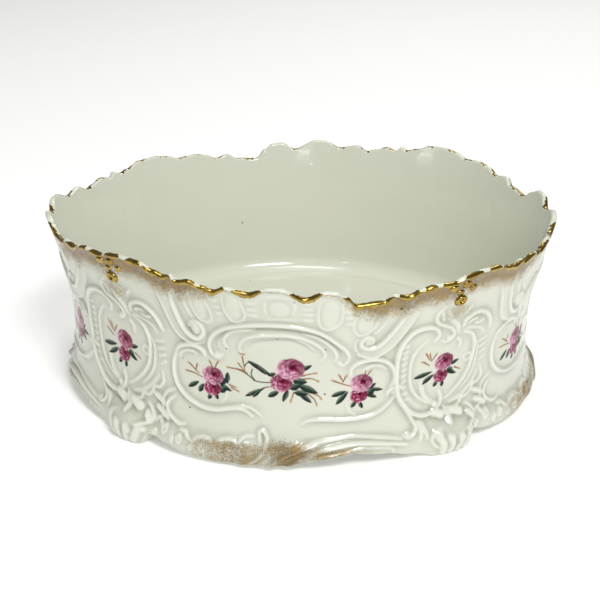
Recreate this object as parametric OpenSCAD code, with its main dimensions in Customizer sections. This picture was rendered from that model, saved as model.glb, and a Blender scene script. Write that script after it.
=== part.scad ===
// Oval porcelain serving bowl with a scalloped gilt rim, raised scrollwork and four shell feet.
// Origin: on the ground under the middle of the bowl. +X is the long way, -Y is the front.
// Angles round the bowl start at the middle of the front and grow towards +X. Four equal
// panels, each a quarter turn, meet at the four corners, where the shell feet stand.

/* [Plan] */
// Length of the oval, left to right, at the rim
bowl_length = 254; // [200:1:310]
// Width of the oval, front to back, at the rim
bowl_width = 218; // [170:1:265]
// How far the four corners stand in from a smooth oval
corner_flat = 1.6; // [0:0.1:4]

/* [Heights] */
// Height of the rim's mean line above the ground
rim_height = 90; // [74:1:110]
// Height of the inside floor above the ground
floor_height = 20; // [16:0.5:25]
// Thickness of the floor
floor_thickness = 5; // [3:0.5:7]
// How far the rim has warped up and down at the corners in the kiln
kiln_warp = 3; // [0:0.5:4]
// Multiplier on the rise and fall of the scalloped edge
scallop_scale = 1; // [0.6:0.05:1.3]

/* [Wall] */
// Thickness of the wall at the floor
wall_thickness = 4; // [3:0.1:5.5]
// Thickness of the wall at the rim
rim_thickness = 3; // [2.4:0.1:3.5]
// How far the waist stands in from the rim
waist_inset = 9; // [5:0.5:12]
// How far the foot flares out again below the waist
foot_flare = 2; // [0:0.5:4]
// Radius of the curve between the floor and the wall inside
floor_fillet = 8; // [4:0.5:10]

/* [Feet] */
// Thickness of the foot skirt and depth of each foot's base behind the wall line
skirt_thickness = 4; // [3:0.5:6]
// How far each shell foot bulges out
foot_bulge = 7; // [4:0.5:9]
// Height that the shell feet climb above the foot skirt's top
foot_climb = 4; // [2:0.5:5]
// Multiplier on the depth of the frilled skirt between the feet
frill_scale = 1; // [0.5:0.05:1.3]

/* [Ornament] */
// Height of the raised scrolls
scroll_height = 1.6; // [0.8:0.1:2.4]
// Width of the raised scrolls
scroll_width = 2.6; // [1.6:0.1:3.2]
// Radius of the largest gilt boss below each corner
boss_radius = 2.6; // [1.6:0.1:3.2]
// Thickness of the gilding on the rim
gilt_thickness = 0.3; // [0.2:0.05:0.5]
// Thickness of the rose transfers
transfer_thickness = 0.15; // [0.1:0.05:0.3]
// Gap under everything that lies on the wall
seat_gap = 0.06; // [0.04:0.01:0.1]

/* [Hidden] */
CORNERS = ["front_right", "back_right", "back_left", "front_left"];
SIDES = ["front", "right", "back", "left"];

porcelain = [0.90, 0.91, 0.87];
porcelain_shade = [0.82, 0.84, 0.79];
gold = [0.72, 0.52, 0.14];
rose = [0.72, 0.25, 0.45];

// Plan: a smooth oval with a small fourth wave that flattens its corners
mean_radius = (bowl_length + bowl_width) / 4 - corner_flat;
oval = (bowl_width - bowl_length) / 4;
function plan_radius(t) = mean_radius + oval * cos(2 * t) + corner_flat * cos(4 * t);

// Mesh step round the bowl; a panel holds a whole number of steps
step = 1.5;
around = 360 / step;
panel = 90;
foot_half = 7.5;
skirt_half = panel / 2 - foot_half;

// Heights. The ornament is laid out on a field that runs from 0 at the rim's mean line
// down to field_depth at the skirt, so it follows the wall when the heights change.
joint_height = floor_height - floor_thickness;
field_depth = 75;
straight_top = 28;
straight_bottom = 58;
function height(v) = rim_height - v * (rim_height - joint_height) / field_depth;

// Scalloped edge of one panel: angle from the panel's middle, height above the mean line
EDGE = [
    [-45, 5], [-40.5, 6], [-36, 5.5], [-31.5, 2.7], [-29, 1.5], [-27, 3], [-25.5, 0.6], [-22.5, 2],
    [-19, 0.2], [-16.5, -0.9], [-13, 2.1], [-8, 0.6], [-2.5, 4.5], [0, 4.7], [6, 0.6], [10.5, 4.5],
    [13, 4.2], [15.5, 1.5], [18, -2.7], [24.5, -1.7], [27, 1.4], [30.5, -0.1], [34, 2.5],
    [37, 3.6], [42, 3], [45, 5]
];
// Lower edge of the foot skirt: angle, height above the ground
SKIRT_EDGE = [
    [-37.5, 6.5], [-33, 4.5], [-26, 2.5], [-18, 1.6], [-10, 2], [0, 3], [8, 5.5], [18, 8],
    [27, 6], [34, 3], [37.5, 1.6]
];
// How far the skirt's frill stands out: angle, depth
FRILL = [[-37.5, 1], [-30, 3], [-20, 3.4], [-10, 2.6], [0, 2.2], [10, 0.8], [37.5, 1]];
// Lower edge of a shell foot, from its left end to its right end
FOOT_EDGE = [[-7.5, 1.6], [-4.5, 0], [4.5, 0], [7.5, 6.5]];

// A smooth wave through a list of points
function segment_of(t, pts) = len([for (k = [1 : len(pts) - 1]) if (t >= pts[k][0]) k]);
function wave(t, pts) =
    let (k = min(segment_of(t, pts), len(pts) - 2), a = pts[k], b = pts[k + 1],
         f = min(max((t - a[0]) / (b[0] - a[0]), 0), 1))
    a[1] + (b[1] - a[1]) * (1 - cos(180 * f)) / 2;
// Angle measured from the middle of the panel that holds it
function in_panel(t) = let (q = t + panel / 2) q - panel * floor(q / panel) - panel / 2;
function edge_height(t) = rim_height + scallop_scale * wave(in_panel(t), EDGE);

// Side profile: how far the wall stands in at height z
waist_share = 0.55;
waist_power = 1.8;
flare_start = 0.3;
function inset(z) =
    let (x = (rim_height - z) / (waist_share * rim_height), g = max(0, 1 - z / (flare_start * rim_height)))
    waist_inset * (1 - pow(max(0, 1 - x), waist_power)) - foot_flare * g * g * (3 - 2 * g);
function outer_radius(t, z) = plan_radius(t) * (1 - inset(z) / mean_radius);
function thickness(z) =
    let (f = min(max((z - floor_height) / (rim_height - floor_height), 0), 1))
    wall_thickness + (rim_thickness - wall_thickness) * f;
function fillet_inset(z) =
    let (h = min(max(floor_height + floor_fillet - z, 0), floor_fillet))
    floor_fillet - sqrt(floor_fillet * floor_fillet - h * h);
function inner_radius(t, z) =
    let (y = max(z, floor_height))
    outer_radius(t, y) - thickness(y) - fillet_inset(y);

// A point at angle t, radius r and height z, moved by the kiln warp. The warp grows from nothing at
// the skirt to its full height at the top of the wall's straight middle zone.
function warp(t, z) =
    -kiln_warp * sin(2 * t) * min(1, max(0, z - joint_height) / (height(straight_top) - joint_height));
function place(t, r, z) = [r * sin(t), -r * cos(t), z + warp(t, z)];

// The wall's rings, as [radius, height] pairs at angle t
crown_drop = 1.2;
lower_field = [field_depth, 68, straight_bottom, straight_top, 20];
upper_share = [0.35, 0.7];
function upper_height(t, share) =
    height(lower_field[4]) + share * (edge_height(t) - crown_drop - height(lower_field[4]));
function outer_heights(t) = [
    for (v = lower_field) height(v),
    for (s = upper_share) upper_height(t, s),
    edge_height(t) - crown_drop
];
function wall_section(t) =
    let (zs = outer_heights(t), top = edge_height(t), n = len(zs))
    [
        for (z = zs) [outer_radius(t, z), z],
        [outer_radius(t, top) - rim_thickness / 2, top],
        [outer_radius(t, zs[n - 1]) - thickness(zs[n - 1]), zs[n - 1]],
        for (k = [n - 2, 4, 3]) [inner_radius(t, zs[k]), zs[k]],
        for (f = [1, 0.5, 0.15, 0]) [inner_radius(t, floor_height + f * floor_fillet),
                                     floor_height + f * floor_fillet],
        [inner_radius(t, floor_height), joint_height]
    ];

// Point on the wall's outer faces, out by a distance. Between mesh steps it lies on the flat facet.
function facet_radius(t, z) = lookup(z, [for (h = outer_heights(t)) [h, outer_radius(t, h)]]);
function on_wall(t, z, out) =
    let (a = floor(t / step) * step, f = (t - a) / step,
         p = place(a, facet_radius(a, z), z), q = place(a + step, facet_radius(a + step, z), z))
    p + (q - p) * f + out * [sin(t), -cos(t), 0];

// Side faces of a loft whose rings each hold m points, wound so that they face outwards
function quad(a, b, c, d) = [[a, b, c], [a, c, d]];
function loft_faces(rings, m, closed) = [
    for (i = [0 : rings - (closed ? 1 : 2)]) for (j = [0 : m - 1])
        let (a = i * m, b = ((i + 1) % rings) * m, k = (j + 1) % m)
        each quad(a + j, a + k, b + k, b + j)
];
function cap_faces(rings, m) = [
    for (j = [1 : m - 2]) [0, j + 1, j],
    for (j = [1 : m - 2]) [(rings - 1) * m, (rings - 1) * m + j, (rings - 1) * m + j + 1]
];
function shifted(faces, by) = [for (f = faces) [for (i = f) i + by]];

// A closed ring right round the bowl, or a length of it with flat ends
module closed_loft(sections) {
    polyhedron([for (s = sections) each s], loft_faces(len(sections), len(sections[0]), true), 10);
}
module open_loft(sections) {
    rings = len(sections);
    m = len(sections[0]);
    polyhedron([for (s = sections) each s], concat(loft_faces(rings, m, false), cap_faces(rings, m)), 10);
}

module bowl_wall() {
    color(porcelain)
    closed_loft([for (i = [0 : around - 1]) [for (p = wall_section(i * step)) place(i * step, p[0], p[1])]]);
}

module bowl_floor() {
    color(porcelain_shade)
    translate([0, 0, joint_height])
    linear_extrude(floor_thickness)
    polygon([
        for (i = [0 : around - 1])
            let (r = inner_radius(i * step, floor_height)) [r * sin(i * step), -r * cos(i * step)]
    ]);
}

// Skirt below the wall between two feet: its lower edge rises and falls, and its frill stands out
frill_share = 0.5;
module foot_skirt(side) {
    turn = side * panel;
    color(porcelain)
    open_loft([
        for (a = [-skirt_half : step : skirt_half])
            let (t = turn + a, low = wave(a, SKIRT_EDGE), out = frill_scale * wave(a, FRILL),
                 r = outer_radius(t, joint_height), mid = low + frill_share * (joint_height - low))
            [
                place(t, r - skirt_thickness, joint_height), place(t, r - skirt_thickness, low),
                place(t, r + out * 0.7, low), place(t, r + out, mid), place(t, r, joint_height)
            ]
    ]);
}

// Shell foot at a corner: a flat base, a ribbed belly and a dome that climbs onto the wall
rib_depth = 0.7;
belly_share = 0.5;
module shell_foot(corner) {
    turn = (corner + 0.5) * panel;
    color(porcelain)
    open_loft([
        for (a = [-foot_half : step : foot_half])
            let (t = turn + a, low = wave(a, FOOT_EDGE), r = outer_radius(t, joint_height),
                 swell = cos(a * 90 / (foot_half + step)),
                 rib = (round((a + foot_half) / step) % 2) * rib_depth,
                 out = foot_bulge * swell - rib,
                 top = joint_height + foot_climb * (0.3 + 0.7 * swell))
            [
                place(t, r - skirt_thickness, joint_height), place(t, r - skirt_thickness, low),
                place(t, r + out * 0.6, low), place(t, r + out, belly_share * joint_height),
                place(t, r + out * 0.7, joint_height),
                on_wall(t, top, seat_gap), on_wall(t, joint_height, seat_gap)
            ]
    ]);
}

// A scroll is a list of hand-laid points [angle, field depth], with its width and height as shares
scroll_rings = 15;
function spline_point(a, b, c, d, f) =
    0.5 * (2 * b + (c - a) * f + (2 * a - 5 * b + 4 * c - d) * f * f + (3 * b - a - 3 * c + d) * f * f * f);
function along(pts, s) =
    let (n = len(pts) - 1, x = s * n, k = min(floor(x), n - 1), f = x - k)
    spline_point(pts[max(k - 1, 0)], pts[k], pts[k + 1], pts[min(k + 2, n)], f);
millimetres_per_degree = mean_radius * PI / 180;
half_ring = 0.5 / (scroll_rings - 1);
// Extra seat where the rings of a scroll are far apart, so that its flat back clears the round wall
sag_margin = 1.6;
function chord_sag(turned) = sag_margin * mean_radius * (1 - cos(turned / 2));
function scroll_section(turn, pts, wide, high, i) =
    let (s = i / (scroll_rings - 1), p = along(pts, s),
         d = along(pts, min(s + half_ring, 1)) - along(pts, max(s - half_ring, 0)),
         run = [d[0] * millimetres_per_degree, d[1]], taper = 0.35 + 0.65 * sin(180 * s),
         seat = seat_gap + chord_sag(d[0]),
         w = wide * scroll_width * taper / 2 / norm(run),
         side = [run[1] * w / millimetres_per_degree, -run[0] * w])
    [
        on_wall(turn + p[0] + side[0], height(p[1] + side[1]), seat),
        on_wall(turn + p[0], height(p[1]), seat + high * scroll_height * taper),
        on_wall(turn + p[0] - side[0], height(p[1] - side[1]), seat)
    ];
// All the scrolls of one node, as separate closed solids
module scroll_group(turn, scrolls) {
    faces = concat(loft_faces(scroll_rings, 3, false), cap_faces(scroll_rings, 3));
    polyhedron(
        [for (s = scrolls) for (i = [0 : scroll_rings - 1]) each scroll_section(turn, s[2], s[0], s[1], i)],
        [for (k = [0 : len(scrolls) - 1]) each shifted(faces, k * 3 * scroll_rings)],
        10);
}

// Scrolls of a panel: [width share, height share, points]
PANEL_SCROLLS = [
    // tongues under the rim
    [0.6, 0.8, [[-22.6, 7], [-22, 12.5], [-20.4, 18], [-18.8, 18.5], [-17.5, 14], [-18.7, 7]]],
    [0.6, 0.8, [[-14.3, 4], [-13.7, 11], [-12.2, 15.2], [-10.4, 15.2], [-8.8, 11], [-9.6, 4]]],
    [0.6, 0.7, [[-3.6, 3], [-3.5, 8.5], [0, 11.2], [3, 8.5], [3, 3]]],
    [0.6, 0.8, [[9.2, 3], [9, 10], [9.8, 14], [11.4, 15], [13.4, 13.4], [14.5, 9], [14.5, 4]]],
    [0.6, 0.8, [[17.6, 12.6], [18, 15.6], [20, 17.6], [21.8, 16], [23.3, 13], [23.4, 9.6]]],
    // great arches of the middle cartouche
    [1, 1.1, [[-17, 36], [-18.9, 31], [-17.4, 25], [-13, 20.4], [-6, 18], [0, 17.4], [6, 18.2],
              [11, 21], [14, 24.4], [16.2, 28], [16.6, 32], [15, 35]]],
    [0.9, 0.9, [[-10.8, 31], [-10.4, 27], [-6, 23.6], [0, 22.4], [5, 23.2], [8, 25.2], [10.4, 28.6], [10.2, 32]]],
    // flutes that fall from the rim and curl over, left and right
    [1.1, 1.2, [[-27.8, 8.5], [-27.2, 15.5], [-25.8, 22.8], [-23.6, 27.4], [-21.4, 27.2], [-20.6, 24.4], [-22, 21.6]]],
    [0.9, 1, [[-31.6, 8.5], [-30.6, 15], [-29.4, 22], [-28.2, 26.4], [-26.6, 29]]],
    [1.1, 1.2, [[29.4, 12], [28, 17.6], [25.8, 22.6], [23.6, 25.4], [21.4, 25.2], [20.6, 22.8], [22, 20.8]]],
    [0.9, 1, [[32, 14.4], [30.6, 19], [28.6, 25], [26.6, 28.6]]],
    // C-scrolls round the flank sprays
    [1.1, 1.2, [[-20.6, 36.6], [-22.8, 33], [-26, 33], [-28.6, 38], [-29.4, 46], [-28.4, 54], [-25.2, 60],
                [-21, 63], [-15, 61.4], [-10, 60.6], [-7, 64.6]]],
    [1.1, 1.2, [[19, 39.5], [20.2, 34.8], [23, 33], [26.4, 34.8], [28.2, 41], [28.4, 47], [27.4, 52]]],
    [1, 1.1, [[27.6, 56.4], [26.6, 59.4], [23.6, 62.6], [18, 64], [11, 63.6], [5.6, 65.2]]],
    // sweeping lines above the skirt
    [0.9, 0.8, [[-28.6, 61], [-30.6, 65], [-30.4, 69.4], [-28, 72.2]]],
    [0.8, 0.8, [[3, 72.4], [9, 71.8], [18, 70.8], [26, 72]]]
];
// Scrolls of a corner, laid out from the corner's own middle
CORNER_SCROLLS = [
    // outer and inner edge of the ribbed band, and the C on its right
    [1.2, 1.3, [[-5, 27], [-5.6, 22.8], [-8.4, 21], [-11.4, 24.4], [-13, 31], [-13.2, 40], [-12.8, 50],
                [-11.4, 58], [-8.6, 64], [-5.6, 66.4], [-3.2, 64.4]]],
    [0.8, 0.9, [[-7.4, 29], [-9.4, 34], [-10.2, 42], [-9.8, 51], [-7.6, 57.6], [-5.6, 60.6]]],
    [1, 1.1, [[4.4, 28], [6.8, 32], [7.8, 39], [7.4, 47], [5.4, 54], [2, 60], [0.2, 62.4]]],
    // leaf below the gilt bosses
    [1, 1, [[-5.2, 12.4], [-5, 16], [-2.6, 20], [-0.4, 24], [-0.6, 28], [-2.4, 29.6]]],
    // shell volute, its inner curl and the spur above it
    [1, 1.2, [[3, 24.4], [3.4, 20.6], [5.6, 18.2], [8.4, 18.6], [10.6, 22], [11.8, 28]]],
    [0.6, 1, [[5.2, 24.2], [6.6, 22.4], [8.2, 23.8]]],
    [0.7, 0.9, [[1.6, 18.6], [2.4, 15.4]]],
    // flames down the right
    [0.9, 1, [[10.8, 34], [11.6, 40], [11.8, 46]]],
    [0.9, 1, [[11.8, 50], [11, 55.4], [8.4, 59.4]]],
    [0.9, 1, [[7, 62.4], [4.4, 66]]],
    // curl that springs from the shell foot
    [0.9, 1, [[-13, 62], [-12, 67], [-10.4, 71]]]
];
module panel_scrolls(side) {
    color(porcelain_shade) scroll_group(side * panel, PANEL_SCROLLS);
}
module corner_cartouche(corner) {
    color(porcelain_shade) scroll_group((corner + 0.5) * panel, CORNER_SCROLLS);
}

// Gilt bosses below a corner: [angle from the corner, field depth, share of boss_radius]
BOSSES = [[0.4, 9.6, 1], [-1.6, 4.4, 0.7], [2.2, 4.6, 0.6]];
module gilt_boss(corner) {
    turn = (corner + 0.5) * panel;
    color(gold)
    for (b = BOSSES) {
        t = turn + b[0];
        z = height(b[1]);
        r = b[2] * boss_radius;
        chord = on_wall(t + step, z, 0) - on_wall(t - step, z, 0);
        lean = atan2(outer_radius(t, z + 1) - outer_radius(t, z - 1), 2);
        translate(on_wall(t, z, 2 * seat_gap))
        rotate([0, 0, atan2(chord[1], chord[0]) - 90])
        rotate([0, 90 + lean, 0])
        rotate_extrude($fn = 24)
        polygon([[0, 0], [r, 0], for (a = [15 : 15 : 75]) [r * cos(a), 0.7 * r * sin(a)], [0, 0.7 * r]]);
    }
}

// Dashes of bright gold in the dips of the rim: first and last angle in the panel
DASHES = [
    [-43.5, -40.5], [-37.5, -34.5], [-33, -27], [-25.5, -21], [-19.5, -13.5], [-10.5, -4.5],
    [3, 9], [15, 27], [28.5, 33], [39, 43.5]
];
gilt_outside = 2;
function dash_section(t) =
    let (top = edge_height(t), side = top - crown_drop, g = seat_gap, k = seat_gap + gilt_thickness,
         ro = outer_radius(t, side), ri = ro - thickness(side), rm = outer_radius(t, top) - rim_thickness / 2,
         zo = side - gilt_outside, fo = facet_radius(t, zo))
    [
        place(t, fo + g, zo), place(t, ro + g, side), place(t, rm, top + g), place(t, ri - g, side),
        place(t, ri - k, side), place(t, rm, top + k), place(t, ro + k, side + k / 2), place(t, fo + k, zo)
    ];
ALL_DASHES = [for (q = [0 : 3]) for (d = DASHES) [q * panel + d[0], round((d[1] - d[0]) / step) + 1]];
function rings_before(k) = k == 0 ? 0 : rings_before(k - 1) + ALL_DASHES[k - 1][1];
module rim_gilding() {
    m = len(dash_section(0));
    color(gold)
    polyhedron(
        [for (d = ALL_DASHES) for (i = [0 : d[1] - 1]) each dash_section(d[0] + i * step)],
        [
            for (k = [0 : len(ALL_DASHES) - 1])
                let (n = ALL_DASHES[k][1])
                each shifted(concat(loft_faces(n, m, false), strip_caps(n, m)), rings_before(k) * m)
        ],
        10);
}
// Ends of a bent strip: its section is a row of quads between its inner and outer points
function strip_caps(rings, m) =
    let (last = (rings - 1) * m)
    [
        for (j = [0 : m / 2 - 2]) each quad(j, m - 1 - j, m - 2 - j, j + 1),
        for (j = [0 : m / 2 - 2]) each quad(last + j, last + j + 1, last + m - 2 - j, last + m - 1 - j)
    ];

// A rose spray's transfer: an oval patch on the wall's straight middle zone
function patch_section(t, mid, half_angle, v, half_v) =
    let (a = t - mid, f = sqrt(max(0.06, 1 - a * a / (half_angle * half_angle))),
         high = height(v - half_v * f), low = height(v + half_v * f), k = seat_gap + transfer_thickness)
    [on_wall(t, low, seat_gap), on_wall(t, low, k), on_wall(t, high, k), on_wall(t, high, seat_gap)];
module transfer(mid, v, half_steps, half_v) {
    open_loft([
        for (i = [-half_steps : half_steps])
            patch_section(mid + i * step, mid, half_steps * step, v, half_v)
    ]);
}
module main_rose_transfers() {
    color(rose) for (q = [0 : 3]) transfer(q * panel - 1.5, 43.5, 8, 11);
}
module flank_rose_transfers() {
    color(rose) for (q = [0 : 3]) for (a = [-19.5, 19.5]) transfer(q * panel + a, 48, 4, 9);
}
module corner_rose_transfers() {
    color(rose) for (q = [0 : 3]) transfer((q + 0.5) * panel, 46, 3, 9.5);
}

bowl_wall();
bowl_floor();
for (k = [0 : 3]) foot_skirt(k);
for (k = [0 : 3]) shell_foot(k);
for (k = [0 : 3]) panel_scrolls(k);
for (k = [0 : 3]) corner_cartouche(k);
for (k = [0 : 3]) gilt_boss(k);
rim_gilding();
main_rose_transfers();
flank_rose_transfers();
corner_rose_transfers();
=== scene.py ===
"""Looks of the oval porcelain bowl: moulded relief, glaze, gilding, sponged gold and rose sprays.

Angles round the bowl are degrees from the middle of the front, growing towards +X. A panel is a
quarter turn, and its ornament repeats four times. Depths are millimetres below the rim's mean line.
"""
import math

import bpy
import numpy as np
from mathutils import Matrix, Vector

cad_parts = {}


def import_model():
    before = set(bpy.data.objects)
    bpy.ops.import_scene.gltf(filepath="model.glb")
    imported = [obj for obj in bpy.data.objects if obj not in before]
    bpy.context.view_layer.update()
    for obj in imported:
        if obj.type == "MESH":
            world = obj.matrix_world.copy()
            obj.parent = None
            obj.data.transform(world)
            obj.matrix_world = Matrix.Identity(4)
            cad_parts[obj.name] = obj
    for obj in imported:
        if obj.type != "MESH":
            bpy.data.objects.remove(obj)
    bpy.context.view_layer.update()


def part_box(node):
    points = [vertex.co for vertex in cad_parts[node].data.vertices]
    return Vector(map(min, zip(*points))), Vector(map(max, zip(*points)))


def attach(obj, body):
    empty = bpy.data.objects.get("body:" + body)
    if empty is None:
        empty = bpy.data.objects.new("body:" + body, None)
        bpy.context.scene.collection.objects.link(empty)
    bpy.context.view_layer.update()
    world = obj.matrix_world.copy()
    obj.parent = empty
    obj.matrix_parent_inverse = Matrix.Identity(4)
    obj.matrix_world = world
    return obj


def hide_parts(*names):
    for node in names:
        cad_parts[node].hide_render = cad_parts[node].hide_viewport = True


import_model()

MM = 0.001
SIDES = ("front", "right", "back", "left")
CORNERS = ("front_right", "back_right", "back_left", "front_left")
PANEL = 90.0

# ---------------------------------------------------------------- sizes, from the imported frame
wall_low, wall_high = (np.array(c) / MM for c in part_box("bowl_wall"))
floor_low, floor_high = (np.array(c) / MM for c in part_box("bowl_floor"))
JOINT = wall_low[2]
FLOOR_TOP = floor_high[2]
CREST = 9.0  # from the rim's mean line up to the top of the wall's box
RIM = wall_high[2] - CREST
FLARE_LONG, FLARE_WIDE = 1.28, 1.10  # how far the box reaches past the rim oval, each way
HALF_LENGTH = wall_high[0] - FLARE_LONG
HALF_WIDTH = wall_high[1] - FLARE_WIDE
CORNER_FLAT = 1.6
MEAN = (HALF_LENGTH + HALF_WIDTH) / 2 - CORNER_FLAT
OVAL = (HALF_WIDTH - HALF_LENGTH) / 2
WAIST_INSET, WAIST_SHARE, WAIST_POWER = 9.0, 0.55, 1.8
FOOT_FLARE, FLARE_START = 2.0, 0.3
WALL_THICK, RIM_THICK, SKIRT_THICK = 4.0, 3.0, 4.0
FILLET = 8.0
WARP = 3.0
WARP_TOP = RIM - 28.0
CROWN = 1.2
FIELD = RIM - JOINT
MM_PER_DEGREE = MEAN * math.pi / 180

# Scalloped edge: angle in the panel, height above the mean line
EDGE = np.array([
    (-45, 5), (-40.5, 6), (-36, 5.5), (-31.5, 2.7), (-29, 1.5), (-27, 3), (-25.5, 0.6), (-22.5, 2),
    (-19, 0.2), (-16.5, -0.9), (-13, 2.1), (-8, 0.6), (-2.5, 4.5), (0, 4.7), (6, 0.6), (10.5, 4.5),
    (13, 4.2), (15.5, 1.5), (18, -2.7), (24.5, -1.7), (27, 1.4), (30.5, -0.1), (34, 2.5),
    (37, 3.6), (42, 3), (45, 5)], float)
# Lower edge: angle, height above the ground
FOOT_EDGE = np.array([
    (-45, 0), (-40.5, 0), (-37.5, 6.5), (-33, 4.5), (-26, 2.5), (-18, 1.6), (-10, 2), (0, 3), (8, 5.5),
    (18, 8), (27, 6), (34, 3), (37.5, 1.6), (40.5, 0), (45, 0)], float)
# How far the frill of the skirt stands out: angle, depth
FRILL = np.array([
    (-45, 1), (-37.5, 1), (-30, 2), (-20, 2.2), (-10, 2), (0, 2.2), (10, 2.1), (20, 1.9), (37.5, 1.2),
    (45, 1)], float)


def sind(a):
    return np.sin(np.radians(a))


def cosd(a):
    return np.cos(np.radians(a))


def in_panel(t):
    return (np.asarray(t, float) + PANEL / 2) % PANEL - PANEL / 2


def wave(a, pts):
    """A smooth wave through a list of points."""
    k = np.clip(np.searchsorted(pts[:, 0], a, "right") - 1, 0, len(pts) - 2)
    f = np.clip((a - pts[k, 0]) / (pts[k + 1, 0] - pts[k, 0]), 0, 1)
    return pts[k, 1] + (pts[k + 1, 1] - pts[k, 1]) * (1 - np.cos(np.pi * f)) / 2


def smooth(x):
    x = np.clip(x, 0, 1)
    return x * x * (3 - 2 * x)


def plan_radius(t):
    return MEAN + OVAL * cosd(2 * t) + CORNER_FLAT * cosd(4 * t)


def inset(z):
    x = (RIM - z) / (WAIST_SHARE * RIM)
    return (WAIST_INSET * (1 - np.maximum(0, 1 - x) ** WAIST_POWER)
            - FOOT_FLARE * smooth(1 - z / (FLARE_START * RIM)))


def outer_radius(t, z):
    return plan_radius(t) * (1 - inset(z) / MEAN)


def thickness(z):
    return WALL_THICK + (RIM_THICK - WALL_THICK) * np.clip((z - FLOOR_TOP) / (RIM - FLOOR_TOP), 0, 1)


def inner_radius(t, z):
    y = np.maximum(z, FLOOR_TOP)
    h = np.clip(FLOOR_TOP + FILLET - y, 0, FILLET)
    return outer_radius(t, y) - thickness(y) - (FILLET - np.sqrt(FILLET ** 2 - h ** 2))


def warp(t, z):
    return -WARP * sind(2 * t) * np.clip((z - JOINT) / (WARP_TOP - JOINT), 0, 1)


def place(t, r, z):
    """Points in metres from angle, radius and height before the kiln warp."""
    t, r, z = np.broadcast_arrays(t, r, z)
    return np.stack([r * sind(t), -r * cosd(t), z + warp(t, z)], -1) * MM


# ---------------------------------------------------------------- relief
# The relief is drawn on a sheet that holds one panel, in strokes laid one by one. Stroke points are
# (angle, depth) as they stand on the fired front panel, so unfired() takes the kiln warp out.
SHEET_COLS = 720
SHEET_ROWS = 424
SHEET_TOP = -12.0
CELL = 0.25
DEGREE = PANEL / SHEET_COLS


def unfired(a, v):
    """Depth before the kiln warp of a point read on the fired bowl."""
    return v + warp(a, RIM - v)


class Sheet:
    """A height map of one panel that wraps round at its ends."""

    def __init__(self):
        self.h = np.zeros((SHEET_COLS, SHEET_ROWS))

    def stamp(self, a, v, rx, ry, high, power, turn=0.0):
        """Raises an oval dome, where it stands above what is there."""
        reach = max(rx, ry)
        cols = int(math.ceil(reach / (DEGREE * MM_PER_DEGREE))) + 1
        rows = int(math.ceil(reach / CELL)) + 1
        c, r = (a + PANEL / 2) / DEGREE, (v - SHEET_TOP) / CELL
        ci = np.arange(int(c) - cols, int(c) + cols + 2)
        ri = np.arange(max(int(r) - rows, 0), min(int(r) + rows + 2, SHEET_ROWS))
        if not len(ri):
            return
        x = ((ci - c) * DEGREE * MM_PER_DEGREE)[:, None]
        y = ((ri - r) * CELL)[None, :]
        if turn:
            s, k = sind(turn), cosd(turn)
            x, y = x * k + y * s, y * k - x * s
        d = 1 - (x / rx) ** 2 - (y / ry) ** 2
        dome = high * np.clip(d, 0, 1) ** power
        idx = np.ix_(ci % SHEET_COLS, ri)
        self.h[idx] = np.maximum(self.h[idx], dome)

    def stroke(self, wide, high, pts, ends=(0.5, 0.5), power=1.1):
        """A ridge along a smooth path: full width and height in the middle, less at its ends."""
        path = curve_points(pts, MM_PER_DEGREE, 0.35)
        n = len(path)
        for i, (a, v) in enumerate(path):
            s = i / max(n - 1, 1)
            grow = 1.0
            if s < 0.25:
                grow = ends[0] + (1 - ends[0]) * math.sin(math.pi / 2 * s / 0.25)
            elif s > 0.75:
                grow = ends[1] + (1 - ends[1]) * math.sin(math.pi / 2 * (1 - s) / 0.25)
            w = wide / 2 * (0.35 + 0.65 * grow)
            self.stamp(a, unfired(a, v), w, w, high * grow, power)


def curve_points(pts, mm_per_degree, spacing):
    """Points along a Catmull-Rom curve through pts, about spacing millimetres apart."""
    p = np.array(pts, float)
    if len(p) == 2:
        p = np.array([p[0], (p[0] + p[1]) / 2, p[1]])
    q = np.vstack([2 * p[0] - p[1], p, 2 * p[-1] - p[-2]])
    out = []
    for k in range(1, len(q) - 2):
        a, b, c, d = q[k - 1], q[k], q[k + 1], q[k + 2]
        run = np.hypot((c[0] - b[0]) * mm_per_degree, c[1] - b[1])
        n = max(int(run / spacing), 2)
        f = (np.arange(n) / n)[:, None]
        out.append(0.5 * (2 * b + (c - a) * f + (2 * a - 5 * b + 4 * c - d) * f ** 2
                          + (3 * b - a - 3 * c + d) * f ** 3))
    out.append(p[-1:])
    return np.vstack(out)


def blurred(h, sigma):
    """Gaussian blur that wraps round the panel's ends."""
    n = int(math.ceil(3 * sigma))
    k = np.exp(-0.5 * (np.arange(-n, n + 1) / sigma) ** 2)
    k /= k.sum()
    a = sum(w * np.roll(h, i - n, 0) for i, w in enumerate(k))
    b = np.pad(a, ((0, 0), (n, n)), "edge")
    return sum(w * b[:, i:i + h.shape[1]] for i, w in enumerate(k))


# Ridges, bands and grooves are (width, height, points); fills are (angle, depth, half width, half height)
TONGUES = [
    (1.3, 0.75, [(-22.7, 4), (-22.4, 9), (-21.6, 13.4), (-20.4, 16.2), (-18.8, 16.7), (-17.6, 15),
        (-17.5, 12), (-18.2, 7.5), (-19, 4)]),
    (1.3, 0.75, [(-14.3, 1.5), (-14.1, 6), (-13.6, 10), (-12.3, 14), (-10.8, 14.4), (-9.3, 13), (-8.7, 10),
        (-9.3, 6), (-9.8, 2.5)]),
    (1.3, 0.75, [(9.4, 1.5), (9, 6), (8.9, 11), (9.5, 15), (11, 17), (12.7, 16.4), (14.1, 14), (14.7, 10),
        (14.6, 4.5)]),
    (1.3, 0.8, [(18.4, 10.6), (17.7, 13.5), (17.8, 18), (18.9, 20.8), (20.3, 21.1), (21.7, 20), (23.2, 17),
        (23.5, 13.5), (22, 10.4)]),
]
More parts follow.
